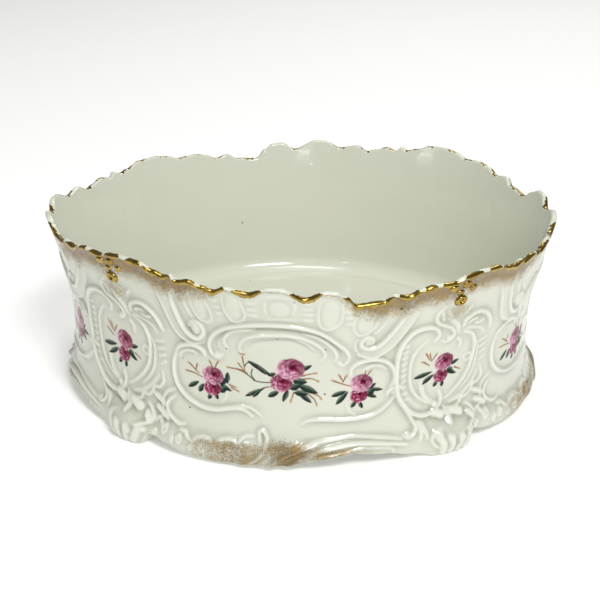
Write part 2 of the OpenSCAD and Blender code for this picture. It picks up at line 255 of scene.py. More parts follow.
TONGUE_FILLS = [
    (-20.2, 9.5, 3.3, 7), (-11.6, 7.5, 4.2, 7.2), (-0.2, 6, 5.2, 4), (11.8, 9, 4.6, 8),
    (20.5, 15.4, 4.4, 5.4),
]
MEDALLION = [
    (1.6, 0.5, [(-3.7, 2.4), (-3.8, 5.5), (-3.5, 9)]), (1.8, 0.5, [(3.2, 2.4), (3.4, 5.5), (2.8, 9)]),
    (2, 0.35, [(-4.6, 0.6), (-1, -0.6), (3, 0.2)]), (1.6, 0.35, [(-4, 12), (0, 11.3), (4, 12)]),
]
# Ladders of short bars: (angle, depth of first bar, angle step, depth step, bars, half width in degrees)
LADDERS = [
    (-16.5, 4.3, 0.55, 3.35, 3, 0.95), (-7.1, 3.8, 0.1, 3.2, 3, 1.15), (6.3, 2.8, 0.05, 2.95, 4, 1.1),
    (16.1, 8, 0.3, 3.2, 3, 0.8),
]
FLUTES = [
    (3, 1.5, [(-28, 4.5), (-27.7, 9), (-27.2, 13), (-26.5, 17.5), (-25.6, 21.5), (-24.4, 24.6),
        (-22.6, 26.4), (-21, 25.6), (-20.1, 22.8), (-20.5, 19.3), (-21.8, 17.6), (-23.3, 18.2),
        (-24, 20.4)]),
    (1.5, 1, [(-32.2, 3), (-31.3, 9), (-30.3, 15), (-29.4, 20.5), (-28.2, 25), (-26, 28.2), (-23, 29.3),
        (-20.6, 28), (-19.4, 25)]), (2.2, 0.6, [(-24.7, 4.5), (-24.3, 9), (-23.5, 13), (-22.6, 16)]),
    (2.6, 1.4, [(31.6, 10.5), (30.2, 14), (29, 17.6), (27.4, 22), (25.6, 25.8), (23.8, 28.2), (21.6, 28.6),
        (20, 27), (20, 24.6), (21.2, 22.7), (22.6, 23.3), (23, 25.4), (22.2, 26.8)]),
    (1.5, 1, [(34, 13), (32.4, 18), (30.6, 23.5), (28.6, 28.5), (25.8, 32.4), (22.6, 33.6), (19.8, 32),
        (18.5, 28.5), (18.5, 25), (19.4, 22.6)]), (1.6, 0.6, [(25.8, 14.5), (24.6, 18.6), (22.8, 21.4)]),
]
# Round ends of the volutes and other knobs: (angle, depth, half width, half height, height)
KNOBS = [
    (-22.1, 21, 3.1, 3.3, 1.5), (21.6, 25.2, 2, 2.2, 0.9), (-16.9, 33.4, 1.7, 1.8, 1.1),
    (41.3, 64.4, 2, 2.2, 1.3), (44.2, 30.6, 1.7, 1.7, 0.9), (33.2, 76.6, 1.6, 1.6, 0.9),
    (29.3, 53.4, 1.8, 1.6, 0.9), (14.6, 35.4, 1.4, 1.4, 0.9),
]
FLUTE_BANDS = [
    (7, 0.8, [(-30, 4), (-29.2, 12), (-28, 19), (-26, 25), (-23, 26.6), (-21.4, 24)]),
    (7, 0.8, [(32.6, 13), (30.6, 18.4), (28, 24.4), (25.4, 29.4), (22, 30.8), (20.2, 28)]),
]
ARCHES = [
    (2.6, 1.7, [(-15.6, 33), (-16.8, 34.9), (-18.4, 33.2), (-19, 29), (-18.1, 24.4), (-16, 20.6),
        (-13, 18), (-9, 16.1), (-4, 15), (0, 14.8), (4, 15.6), (8, 17.6), (11, 20.6), (13.8, 24.8),
        (16.2, 29), (17, 32.6), (16.2, 35.8), (14.8, 36.3), (14.4, 34.8)]),
    (1.8, 1.2, [(-14.1, 29.4), (-14.8, 27), (-14.6, 23.8), (-13.2, 20.9), (-10.6, 18.9), (-6.4, 17.6)]),
    (1.8, 1.1, [(5.4, 18.8), (8.6, 20.8), (11.2, 24.2), (13, 28), (13.8, 31.6), (13.4, 34.4)]),
    (2.1, 1.3, [(-10.5, 30.8), (-10.9, 27.6), (-9.3, 23.4), (-6, 21), (-3, 20.3), (1, 20.1), (5, 21.4),
        (8, 24.2), (10.1, 27.6), (10.9, 31), (10, 33.6)]), (1.2, 0.6, [(3.6, 22.4), (6.2, 24.6), (8, 28)]),
]
CARTOUCHE_GROOVES = [
    (2, 0.55, [(-16.6, 31), (-17, 27), (-15.8, 23.6), (-13, 20), (-9, 17.9), (-4, 16.9), (1, 16.9),
        (5, 17.9), (9, 20.2), (12, 24), (14.4, 28.4), (15, 32)]),
    (1.8, 0.45, [(-8.6, 27), (-6, 24), (-2, 22.6), (2, 22.6), (5.6, 25), (8, 29)]),
]
FLANK_SCROLLS = [
    (2.8, 1.6, [(-20.5, 35), (-20.8, 32.6), (-22.6, 30.8), (-25, 30.8), (-27.6, 32.6), (-29, 35.6)]),
    (1.7, 1.1, [(-22.9, 35), (-23.8, 33.8), (-25.6, 34), (-27.3, 35.8), (-28.2, 38.6)]),
    (3, 1.7, [(-28.8, 36), (-29.7, 40), (-30, 44), (-29.9, 48), (-29, 53), (-27, 57.5), (-24.4, 60.5),
        (-21.4, 62.2), (-18, 62.3), (-15, 61), (-12.4, 60), (-10, 60.6), (-8, 63.4)]),
    (1.8, 1.1, [(-13, 59), (-9.6, 58.6), (-7.2, 60.4), (-5.4, 63.6)]),
    (1.6, 0.5, [(-15, 50), (-15, 55), (-16.6, 59)]),
    (2.8, 1.6, [(17.7, 42.6), (17.8, 38.6), (19.8, 35.7), (22.8, 34.8), (25.6, 35.7), (28, 38.6),
        (29.2, 42.6), (29.3, 47), (28.3, 51.4)]),
    (1.7, 1.1, [(20.9, 42), (21.4, 39.6), (23, 38.3), (25.2, 38.5), (27, 40.6)]),
    (2.4, 1.5, [(27.6, 54.6), (28, 52.4), (29.4, 51), (31, 51), (31.8, 52.4)]),
    (2.8, 1.6, [(29.5, 55.6), (28.4, 58.2), (26.4, 61.2), (24, 63.4), (21, 64.5), (16, 64.7), (12, 64.1),
        (9, 63.9), (6.6, 64.6), (5, 66)]), (1.6, 0.5, [(16.8, 56), (17.3, 60.4), (19.4, 63.2)]),
    (2.4, 1.6, [(29.8, 54.6), (31, 59), (32.6, 63.5), (34.1, 68), (35.3, 72), (35.5, 75), (34.5, 77.3),
        (33, 77.8), (32, 76.6)]),
]
LEFT_CURLS = [
    (2.4, 1.6, [(-30.2, 60), (-31.8, 62.5), (-32.5, 66), (-31.9, 69.5), (-30.6, 72), (-28.8, 73.5),
        (-26.9, 73)]), (2, 1.2, [(-29.8, 56), (-32.2, 58.2), (-33.6, 62), (-33.8, 66.6), (-33, 70)]),
]
CORNER_RIDGES = [
    # outer edge of the ribbed band, from its top curl down to the spiral at its foot
    (3.4, 1.9, [(40.2, 30.4), (41, 28), (40.2, 24.9), (38, 22.6), (35.4, 22.4), (33, 24.2), (31.3, 27.6),
        (30.3, 32), (29.9, 38), (29.9, 44), (30, 50), (30.4, 55), (31.5, 59.5), (33.2, 63.6), (35, 66.6),
        (37.2, 68.6), (39.6, 68.8), (41.6, 67.2), (42.9, 64.4), (43.2, 61), (42.6, 58)]),
    (2, 1.2, [(37.8, 29.6), (35.8, 32.5), (34.4, 36.5), (33.8, 41), (33.8, 47), (34.2, 52), (35.2, 56),
        (36.8, 59.5), (38.8, 62.4), (40.8, 64)]),
    (3.6, 1, [(37.2, 51), (37.6, 56.5), (38.8, 60.4), (40.4, 62.4)]),
    # double C on the right
    (2.2, 1.5, [(48.6, 29.2), (51, 31.3), (52.3, 34.4), (52.9, 38.5), (52.8, 43), (52.4, 47), (51.6, 51),
        (50, 55), (48.1, 58.4), (46, 61.4), (44.2, 63)]),
    (1.6, 1, [(53.4, 36), (54.2, 41), (54, 46.5), (53.2, 52), (51.6, 56.4), (49.4, 60.4)]),
    (1.5, 1, [(50.2, 45.2), (50, 43.4), (51, 42.2), (52.1, 43.2), (52, 45.2), (51.2, 46.2), (50.4, 45.8)]),
    # leaf that sweeps down from the bosses
    (2.2, 1.4, [(41, 13.4), (39.6, 15.4), (39.3, 18.8), (40.5, 21.8), (42.3, 23.4), (44.4, 25.8),
        (45.4, 29), (44.8, 31.4), (43.2, 32.3), (42, 31)]),
    (1.8, 1.1, [(40.4, 15), (41, 17.6), (41.6, 20.4)]),
    (1.8, 1.1, [(42.4, 15.4), (43.2, 18.6), (44.2, 21.6)]),
    (4, 1, [(42.6, 17), (44, 21), (46, 25), (46.8, 29)]),
    (2, 1.2, [(46.8, 31.6), (48.1, 34.4), (47.9, 37.6)]),
    # shell volute
    (2.8, 1.8, [(48, 26.4), (48.3, 23.4), (49.9, 21.2), (52, 20.5), (54, 21.7), (55.8, 24.4), (57, 28),
        (57.7, 32)]), (1.8, 1.3, [(49.4, 25.4), (50.8, 23.9), (52.4, 24.2)]),
    (1.8, 1.3, [(51.6, 26.4), (53.2, 27), (54.6, 25.8)]),
    (1.6, 1, [(49.2, 28), (51.6, 28.8), (54.4, 30.8), (55.8, 34)]),
    (2.2, 1.3, [(47.7, 19.6), (48.3, 17.4), (49.4, 15.4)]),
    # leafy border below the C
    (2.2, 1.4, [(56.2, 52), (56.4, 56.6), (55, 59.4), (53.4, 60), (52.8, 62.6), (51.2, 64.8), (49.6, 65),
        (48.8, 67.4), (47, 68.3), (44.8, 67.6), (43.6, 66)]),
    (3, 0.9, [(55, 54), (53.6, 57.4), (51.6, 61), (49, 64), (46, 65.6)]),
    # hook beside the foot
    (2.4, 1.5, [(51.2, 68.6), (52.6, 71), (53.5, 74), (52.6, 76.5), (50.6, 78), (49, 79)]),
    (1.8, 1.1, [(35.6, 70), (36.3, 74), (36.8, 78), (36.6, 81)]),
    (1.8, 1.1, [(37.4, 70.6), (37.9, 75), (38, 80)]),
    # edge of the shell foot
    (1.6, 1, [(42, 75.6), (39.9, 77), (39, 80.4), (39.8, 83.6), (41.6, 86)]),
]
# Ribbed band down the left of the corner cartouche: (angle, top, bottom, pitch)
RIBBED_BAND = (31.9, 30.5, 62, 3.1)
FLAMES = [(54.6 + 0.4 * k, 38 + 3.4 * k, 57.6, 37 + 3.2 * k) for k in range(4)]
# Rockwork over the shell foot
ROCKS = [
    (5.2, 2.4, [(40.8, 68.4), (42, 69.2), (43.2, 70.2)]),
    (4.8, 2.3, [(46, 69.4), (47.4, 70.2), (49, 71.2)]),
    (3.6, 1.6, [(44, 68.6), (45.2, 71.2), (44.8, 73.8)]),
    (3.8, 1.7, [(54.6, 68.6), (56.2, 70.2), (57.6, 72.4)]),
    (3.4, 1.4, [(53.8, 63.4), (55.4, 64.8), (56.8, 66.6)]),
    (3, 1.3, [(36.4, 71.4), (37.2, 73.6), (37.2, 76)]), (3.8, 1.9, [(51.4, 73), (52.2, 74.4), (52.8, 76)]),
    (2.4, 1, [(55.2, 73.6), (56.4, 76.4), (57, 79.8)]),
]
# Where the ribs of the shell foot start: (angle, depth)
FOOT_RIBS = [(40.4, 78.6), (43.4, 79.8), (46.8, 80.6), (50.2, 79.8)]
# Rounded lumps at the heads of the ribs, given as in KNOBS
FOOT_LUMPS = [
    (40.8, 78, 1.9, 2.2, 1.2), (43.9, 80.8, 2, 2.3, 1.3), (47.5, 82.6, 1.9, 2.1, 1.3),
    (51.2, 80.6, 1.6, 1.9, 1.2),
]
# Scalloped crest of the frill, and the ring-shaped beads under it
FRILL_CREST = [
    (2, 1.3, [(-28.4, 75.8), (-26.4, 76.2), (-25.4, 78.4), (-24.4, 79.4)]),
    (2, 1.3, [(-24.2, 79.4), (-22.8, 77.4), (-20.6, 76.8), (-19, 77.8), (-18.2, 79.4)]),
    (2, 1.3, [(-18, 79.2), (-16.4, 76.8), (-14.4, 75.8), (-12.9, 76), (-12, 77.6)]),
    (2, 1.3, [(-11.6, 77.4), (-10.8, 75), (-9.4, 73.6), (-7.4, 73.2)]),
    (1.8, 1.1, [(-36, 76), (-35.4, 73.6), (-33.6, 72), (-32, 72.4)]),
]
BEADS = [
    (-32.7, 77.6, 1.9, 3.2, 25), (-30.2, 81.4, 1.3, 2.6, 25), (-28, 80.2, 1.9, 2.9, 20),
    (-24.6, 83, 1.6, 2.2, 10), (-21.4, 82, 2, 2.6, 0), (-17.6, 83, 1.7, 2.4, -8),
    (-14.2, 81.4, 2, 2.6, -12), (-10.8, 80.6, 1.8, 2.6, -16), (-36, 81, 1.5, 2.4, 20),
]
CENTRE_SCROLL = [
    (2.6, 1.8, [(-11.6, 87.6), (-8.6, 86), (-6.4, 83.4), (-5, 80), (-4.3, 77), (-4, 74), (-4.6, 71),
        (-5.2, 69.9), (-6.1, 71.2), (-6, 74), (-5.6, 76.6)]),
    (3, 2.2, [(-3.8, 88.6), (-2.8, 86), (-1, 83.4), (1.2, 81), (3.6, 79), (6.4, 77.2), (9, 76)]),
    (1.6, 0.9, [(-7.4, 88), (-5, 85), (-3, 82), (-0.8, 79), (1.8, 76.6), (4, 75.2)]),
    (2.2, 1.3, [(5, 76.6), (9, 75), (13, 74.3), (18, 73.4), (22, 74.2), (27, 75.8), (31.4, 77.6)]),
    (2.6, 1.8, [(-0.4, 88), (2, 85.6), (4.6, 83), (7.4, 80.8), (11, 78.6), (15, 77.2), (19, 76.6),
        (24, 77.4), (29, 79.2), (33, 81)]),
    (2, 1.2, [(6.4, 83.6), (10, 82.4), (14, 81.6), (17, 80.4), (20, 79.3), (24, 79.7), (28.6, 81.4),
        (29, 84)]),
]


# Share of the drawn heights that is kept
BOLD = 0.85


def draw_relief():
    """The whole panel's relief, in millimetres above the plain wall."""
    low, bands, lines, cuts = Sheet(), Sheet(), Sheet(), Sheet()
    for a, v, rx, ry in TONGUE_FILLS:
        bands.stamp(a, unfired(a, v), rx, ry, 0.55, 0.5)
    for wide, high, pts in FLUTE_BANDS:
        bands.stroke(wide, high, pts, power=0.35)
    for group in (TONGUES, MEDALLION, FLUTES, ARCHES, FLANK_SCROLLS, LEFT_CURLS, CORNER_RIDGES,
                  FRILL_CREST, CENTRE_SCROLL):
        for wide, high, pts in group:
            lines.stroke(wide, high, pts)
    for wide, high, pts in CARTOUCHE_GROOVES:
        cuts.stroke(wide, high, pts)
    for a, v, da, dv, bars, half in LADDERS:
        for k in range(bars):
            x, y = a + da * k, v + dv * k
            lines.stroke(1.5, 0.6, [(x - half, y), (x, y + 0.2), (x + half, y)])
    a, top, bottom, pitch = RIBBED_BAND
    for k in range(int((bottom - top) / pitch)):
        v = top + k * pitch
        lean = 1.6 * smooth((v - 52) / 10)
        lines.stroke(1.6, 0.8, [(a - 0.7 + lean, v + 0.3), (a + 0.9 + lean, v - 0.3)])
    bands.stroke(5, 0.5, [(33, 26.5), (31.8, 32), (31.6, 44), (31.8, 54), (33.6, 60), (36.6, 64.4)],
                 power=0.3)
    for a0, v0, a1, v1 in FLAMES:
        lines.stroke(1.8, 0.9, [(a0, v0), (a1, v1)])
    for a, v, rx, ry, high in KNOBS + FOOT_LUMPS:
        lines.stamp(a, unfired(a, v), rx, ry, high, 0.6)
    for wide, high, pts in ROCKS:
        lines.stroke(wide, high, pts, (0.8, 0.8), 0.45)
    for a, v in FOOT_RIBS:
        lines.stroke(4.4, 1.3, [(a, v), (a + (45 - a) * 0.2 + 0.3, v + 4), (44.6 + (a - 44.6) * 0.6, 89)],
                     (0.8, 0.4), 0.7)
    for a, v, rx, ry, turn in BEADS:
        lines.stamp(a, unfired(a, v), rx, ry, 1.7, 0.5, turn)
        cuts.stamp(a, unfired(a, v), rx * 0.55, ry * 0.6, 1.5, 0.6, turn)
    low.stroke(9, 1.2, [(-4, 90), (-3, 84), (-1, 79), (4, 76)], power=0.7)
    low.stroke(10, 0.8, [(-33, 80), (-24, 82), (-12, 81)], power=0.6)
    return BOLD * (blurred(low.h, 6) + blurred(bands.h, 2.2) + blurred(lines.h, 1.5) - blurred(cuts.h, 1.8))


relief = draw_relief()
# relief above or below its blurred self; the glaze colour turns this into pooled glaze plus painted shade in
# hollows and painted highlight on ridges
cavity = relief - blurred(relief, 7)


def on_sheet(sheet, t, v):
    """Reads a panel sheet at any angles round the bowl and depths."""
    c = ((in_panel(t) + PANEL / 2) / DEGREE) % SHEET_COLS
    r = np.clip((v - SHEET_TOP) / CELL, 0, SHEET_ROWS - 1.001)
    c, r = np.broadcast_arrays(c, r)
    c0, r0 = np.floor(c).astype(int), np.floor(r).astype(int)
    fc, fr = c - c0, r - r0
    c1 = (c0 + 1) % SHEET_COLS
    c0 = c0 % SHEET_COLS
    return ((sheet[c0, r0] * (1 - fc) + sheet[c1, r0] * fc) * (1 - fr)
            + (sheet[c0, r0 + 1] * (1 - fc) + sheet[c1, r0 + 1] * fc) * fr)


FOOT_OUT = 6.6
FOOT_HALF = 7.5


def swell(t, v):
    """How far the shell feet and the frilled skirt bulge out."""
    a = in_panel(t)
    off = np.minimum(np.abs(a - PANEL / 2), np.abs(a + PANEL / 2))
    foot = FOOT_OUT * np.cos(np.clip(off / (FOOT_HALF + 1.5), 0, 1) * math.pi / 2) ** 0.8
    foot = foot * smooth((v - 70) / 9) * (1 - 0.35 * smooth((v - 82) / 8))
    skirt = wave(a, FRILL) * smooth((v - 73) / 6) * (1 - 0.3 * smooth((v - 84) / 6))
    return np.maximum(foot, skirt)


def edge_height(t):
    return RIM + wave(in_panel(t), EDGE)


def foot_height(t):
    return wave(in_panel(t), FOOT_EDGE)


def lip(t, v):
    """The shallow recess that makes the edge look rolled."""
    d = v - (RIM - edge_height(t))
    return 0.4 * (np.exp(-((d - 1.6) / 1.5) ** 2) - 1) * np.exp(-(d / 6) ** 2)


def outside(t, v, out=0.0):
    """The finished outer surface at angle t and depth v, out by a distance."""
    t, v = np.broadcast_arrays(np.asarray(t, float), np.asarray(v, float))
    z = RIM - v
    fade = smooth((v - (RIM - edge_height(t)) - 0.4) / 2.5)
    r = outer_radius(t, z) + swell(t, v) + lip(t, v) + on_sheet(relief, t, v) * fade + out
    return place(t, r, z)


# ---------------------------------------------------------------- grid of the outer wall
COLS = 1600
STEP = 360 / COLS
angles = np.arange(COLS) * STEP
TOP_ZONE, SKIRT_ZONE = 12.0, FIELD
rows_top = np.linspace(0, 1, 36)
rows_mid = np.linspace(0, 1, 141)[1:]
rows_low = np.linspace(0, 1, 34)[1:]
top_v = (RIM - edge_height(angles) + CROWN)[:, None]
low_v = (RIM - foot_height(angles) - 0.8)[:, None]
depths = np.hstack([
    top_v + rows_top * (TOP_ZONE - top_v),
    np.broadcast_to(TOP_ZONE + rows_mid * (SKIRT_ZONE - TOP_ZONE), (COLS, len(rows_mid))),
    SKIRT_ZONE + rows_low * (low_v - SKIRT_ZONE)])
SKIRT_ROW = len(rows_top) + len(rows_mid) - 1
outer = outside(angles[:, None], depths)


def round_step(points, axis):
    """Difference between the neighbours of each point, along an axis that closes on itself."""
    return np.roll(points, -1, axis) - np.roll(points, 1, axis)


def unit(n):
    return n / (np.linalg.norm(n, axis=-1, keepdims=True) + 1e-12)


outer_normals = unit(np.cross(np.gradient(outer, axis=1), round_step(outer, 0)))


# ---------------------------------------------------------------- meshes
def add_object(name, data):
    obj = bpy.data.objects.new(name, data)
    bpy.context.scene.collection.objects.link(obj)
    return obj


def make_mesh(name, verts, faces, normals=None, fields=None, paint=None):
    mesh = bpy.data.meshes.new(name)
    mesh.from_pydata(verts.tolist(), [], faces)
    mesh.update()
    mesh.shade_smooth()
    for key, values in (fields or {}).items():
        flat = np.ascontiguousarray(values, np.float32).ravel()
        mesh.attributes.new(key, "FLOAT", "POINT").data.foreach_set("value", flat)
    if paint is not None:
        flat = np.ascontiguousarray(paint, np.float32).ravel()
        mesh.color_attributes.new("paint", "FLOAT_COLOR", "POINT").data.foreach_set("color", flat)
    if normals is not None:
        mesh.normals_split_custom_set_from_vertices(normals.tolist())
    return add_object(name, mesh)


def loft(name, sections, closed, normals=None, fields=None):
    """A closed solid through a row of sections; a ring's loops run the other way round."""
    n, m = sections.shape[:2]
    i = np.arange(n if closed else n - 1)[:, None]
    j = np.arange(m)[None, :]
    a, b = i * m, ((i + 1) % n) * m
    k = (j + 1) % m
    quads = np.stack(np.broadcast_arrays(a + j, a + k, b + k, b + j), -1).reshape(-1, 4)
    faces = (quads[:, ::-1] if closed else quads).tolist()
    if not closed:
        faces.append(list(range(m))[::-1])
        faces.append([(n - 1) * m + q for q in range(m)])
    return make_mesh(name, sections.reshape(-1, 3), faces, normals, fields)


def tube_faces(n, m, start):
    """Quads between n loops of m points from vertex start on, and a cap at each end."""
    faces = []
    for a in range(start, start + (n - 1) * m, m):
        faces += [(a + j, a + m + j, a + m + (j + 1) % m, a + (j + 1) % m) for j in range(m)]
    last = start + (n - 1) * m
    return faces + [list(range(start, start + m)), list(range(last, last + m))[::-1]]


def loop_normals(sections, closed, given=None):
    """Normals of a loft, with the outer wall's own normals where they are given."""
    du = round_step(sections, 0) if closed else np.gradient(sections, axis=0)
    n = unit(np.cross(round_step(sections, 1), du))
    if given is not None:
        n[:, :given.shape[1]] = given
    return n.reshape(-1, 3)


def span(start, stop):
    """Columns of the outer grid from one angle to another, both included."""
    first, last = round(start / STEP), round(stop / STEP)
    return np.arange(first, last + 1)


def bell(x, middle, wide):
    return np.exp(-((x - middle) / wide) ** 2)


def sponge_density(t, v):
    """How thick the sponged gold lies: along the rim by the corners, on the frill and at the bosses."""
    a = in_panel(t)
    side = np.clip(bell(a, 28, 13) + bell(a, 44, 7) + bell(a, -40, 13) + 0.7 * bell(a, -24, 8), 0, 1)
    drop = v - (RIM - edge_height(t))
    return np.clip(np.maximum.reduce([
        1.5 * side * (1 - smooth(drop / (4 + 11 * side))),
        0.5 * bell(drop, CROWN, 0.9) * np.ones_like(side),
        0.4 * bell(np.abs(a), PANEL / 2, 4) * bell(v, 14, 5),
        0.75 * bell(a, -13, 10) * smooth((v - 75) / 4),
        bell(a, 2, 8) * smooth((v - 72 - np.abs(a) * 0.3) / 5),
        0.8 * bell(a, 12, 9) * smooth((v - 77) / 3)]), 0, 1)


SLAB = 1.2
BACK_ROWS = 9


def shell_piece(name, cols, rows, hidden):
    """A solid whose face is part of the outer surface and whose other sides run through hidden points."""
    grid = np.ix_(cols % COLS, rows)
    sections = np.concatenate([outer[grid], hidden], 1)
    t, v = (cols * STEP)[:, None], depths[grid]
    pad = np.zeros(hidden.shape[:2])
    return loft(name, sections, False, loop_normals(sections, False, outer_normals[grid]),
                {"cavity": np.hstack([on_sheet(cavity, t, v), pad]),
                 "sponge": np.hstack([sponge_density(t, v), pad])})


def relief_slab(name, start, stop):
    """A piece of the ornamented wall: its face is the outer surface and its back lies on the core."""
    cols = span(start, stop)
    v = depths[np.ix_(cols % COLS, np.linspace(SKIRT_ROW, 0, BACK_ROWS).astype(int))]
    t = (cols * STEP)[:, None]
    return shell_piece(name, cols, np.arange(SKIRT_ROW + 1),
                       place(t, outer_radius(t, RIM - v) - SLAB, RIM - v))


def skirt_piece(name, start, stop):
    """A piece of the foot, from the wall's lower end down over the edge and up its inside."""
    cols = span(start, stop)
    t = (cols * STEP)[:, None]
    low = foot_height(t)
    out = np.linalg.norm(outer[cols % COLS, -1, :2], axis=-1)[:, None] / MM
    behind = outer_radius(t, JOINT) - SKIRT_THICK
    under = place(t, np.hstack([out - 0.5, out - 1.4, behind + 1.4, behind + 0.4, behind, behind]),
                  np.hstack([low + 0.2, low, low, low + 0.2, low + 0.8, np.full_like(low, JOINT)]))
    return shell_piece(name, cols, np.arange(SKIRT_ROW, depths.shape[1]), under)


def wall_core():
    """The wall itself: plain behind the relief, rounded at the edge, smooth inside."""
    t = angles[:, None]
    back = depths[:, np.linspace(SKIRT_ROW, 4, 10).astype(int)]
    parts = [place(t, outer_radius(t, RIM - back) - SLAB - 0.15, RIM - back)]
    top = edge_height(t)
    rim_r = np.linalg.norm(outer[:, 0, :2], axis=-1)[:, None] / MM
    turn = np.radians(np.linspace(0, 180, 13))[None, :]
    middle = rim_r - RIM_THICK / 2
    crown = place(t, middle + RIM_THICK / 2 * np.cos(turn), top - CROWN + CROWN * np.sin(turn))
    parts.append(crown)
    q = np.linspace(0, 1, 30)[None, 1:]
    start = top - CROWN
    z = start + q * (FLOOR_TOP + FILLET - start)
    dent = 0.5 * on_sheet(blurred(relief, 6), t, RIM - z)
    dent = dent * (1 - smooth((RIM - z - 6) / 20)) * smooth(q / 0.06)
    edge_gap = (rim_r - RIM_THICK) - inner_radius(t, start)
    inner_r = inner_radius(t, z) + edge_gap * (1 - smooth(q / 0.12)) + dent
    parts.append(place(t, inner_r, z))
    bend = np.radians(np.linspace(0, 90, 9))[None, 1:]
    foot_r = inner_radius(t, FLOOR_TOP + FILLET)
    parts.append(place(t, foot_r - FILLET * (1 - np.cos(bend)), FLOOR_TOP + FILLET * (1 - np.sin(bend))))
    parts.append(place(t, inner_radius(t, FLOOR_TOP), np.full_like(t, JOINT)))
    sections = np.concatenate(parts, 1)
    normals = -loop_normals(sections, True).reshape(sections.shape)
    normals[:, -2] = (0, 0, 1)
    normals = normals.reshape(-1, 3)
    flat = np.zeros(sections.shape[:2])
    return loft("wall", sections, True, normals, {"cavity": flat, "sponge": flat})


TUCK = 0.4


def floor_disc():
    """The floor: a slab whose top ripples slightly in the glaze."""
    n, rings = 480, 30
    t = (np.arange(n) * 360 / n)[:, None]
    edge = inner_radius(t, FLOOR_TOP) + TUCK
    f = np.linspace(1, 0.02, rings)[None, :]
    x, y = edge * f * sind(t), -edge * f * cosd(t)
    ripple = 0.06 * (np.sin(x / 11 + 1.3) * np.sin(y / 9 + 0.4) + 0.6 * np.sin(x / 5.3 - y / 7.1))
    z = FLOOR_TOP - 0.004 * f ** 6 + ripple * (1 - f ** 6)
    top = np.stack([x, y, z], -1) * MM
    under = np.stack([x[:, ::-1], y[:, ::-1], np.full_like(z, JOINT)], -1) * MM
    sections = np.concatenate([top, under], 1)
    verts = sections.reshape(-1, 3)
    m = sections.shape[1]
    faces = []
    for i in range(n):
        a, b = i * m, ((i + 1) % n) * m
        for j in range(m):
            k = (j + 1) % m
            if j != rings - 1:
                faces.append((a + j, b + j, b + k, a + k))
    faces.append([i * m + rings - 1 for i in range(n)])
    faces.append([i * m + rings for i in range(n)][::-1])
    flat = np.zeros(len(verts))
    normals = np.zeros((n, m, 3))
    slope = np.gradient(z, axis=1) / np.gradient(edge * f, axis=1)
    normals[:, :rings] = np.stack([-slope * sind(t), slope * cosd(t), np.ones_like(z)], -1)
    normals[:, rings:, 2] = -1
    return make_mesh("floor", verts, faces, normals.reshape(-1, 3), {"cavity": flat, "sponge": flat})


# ---------------------------------------------------------------- materials
class Graph:
    """A material being built. Each method adds one node and gives back its output socket."""

    def __init__(self, name):
        self.material = bpy.data.materials.new(name)
        self.material.use_nodes = True
        self.tree = self.material.node_tree
        self.bsdf = self.tree.nodes["Principled BSDF"]

    def put(self, socket, value):
        if isinstance(value, bpy.types.NodeSocket):
            self.tree.links.new(value, socket)
        else:
            socket.default_value = value

    def add(self, kind, output, inputs, **settings):
        made = self.tree.nodes.new("ShaderNode" + kind)
        for key, value in settings.items():
            setattr(made, key, value)
        for key, value in inputs.items():
            self.put(made.inputs[key], value)
        return made.outputs[output]

    def coords(self):
        return self.add("TexCoord", "Object", {})

    def noise(self, scale, detail, roughness=0.5):
        return self.add("TexNoise", "Fac", {"Vector": self.coords(), "Scale": scale, "Detail": detail,
                                            "Roughness": roughness})

    def attribute(self, name, output="Fac"):
        return self.add("Attribute", output, {}, attribute_name=name)

    def remap(self, value, low, high, to_low=0.0, to_high=1.0):
        return self.add("MapRange", "Result", {"Value": value, "From Min": low, "From Max": high,
                                               "To Min": to_low, "To Max": to_high})

    def math(self, operation, *values, clamp=False):
        return self.add("Math", "Value", dict(enumerate(values)), operation=operation, use_clamp=clamp)

    def ramp(self, value, stops):
        colours = self.add("ValToRGB", "Color", {"Fac": value})
        elements = colours.node.color_ramp.elements
        while len(elements) < len(stops):
            elements.new(0.5)
        for element, (position, colour) in zip(elements, stops):
            element.position = position
            element.color = (*colour, 1)
        return colours

    def mix(self, factor, first, second, blend="MIX"):
        return self.add("Mix", 2, {"Factor": factor, 6: first, 7: second}, data_type="RGBA", blend_type=blend)

    def bump(self, height, strength, distance):
        return self.add("Bump", "Normal", {"Height": height, "Strength": strength, "Distance": distance})

    def surface(self, values):
        for key, value in values.items():
            self.put(self.bsdf.inputs[key], value)
        return self.material


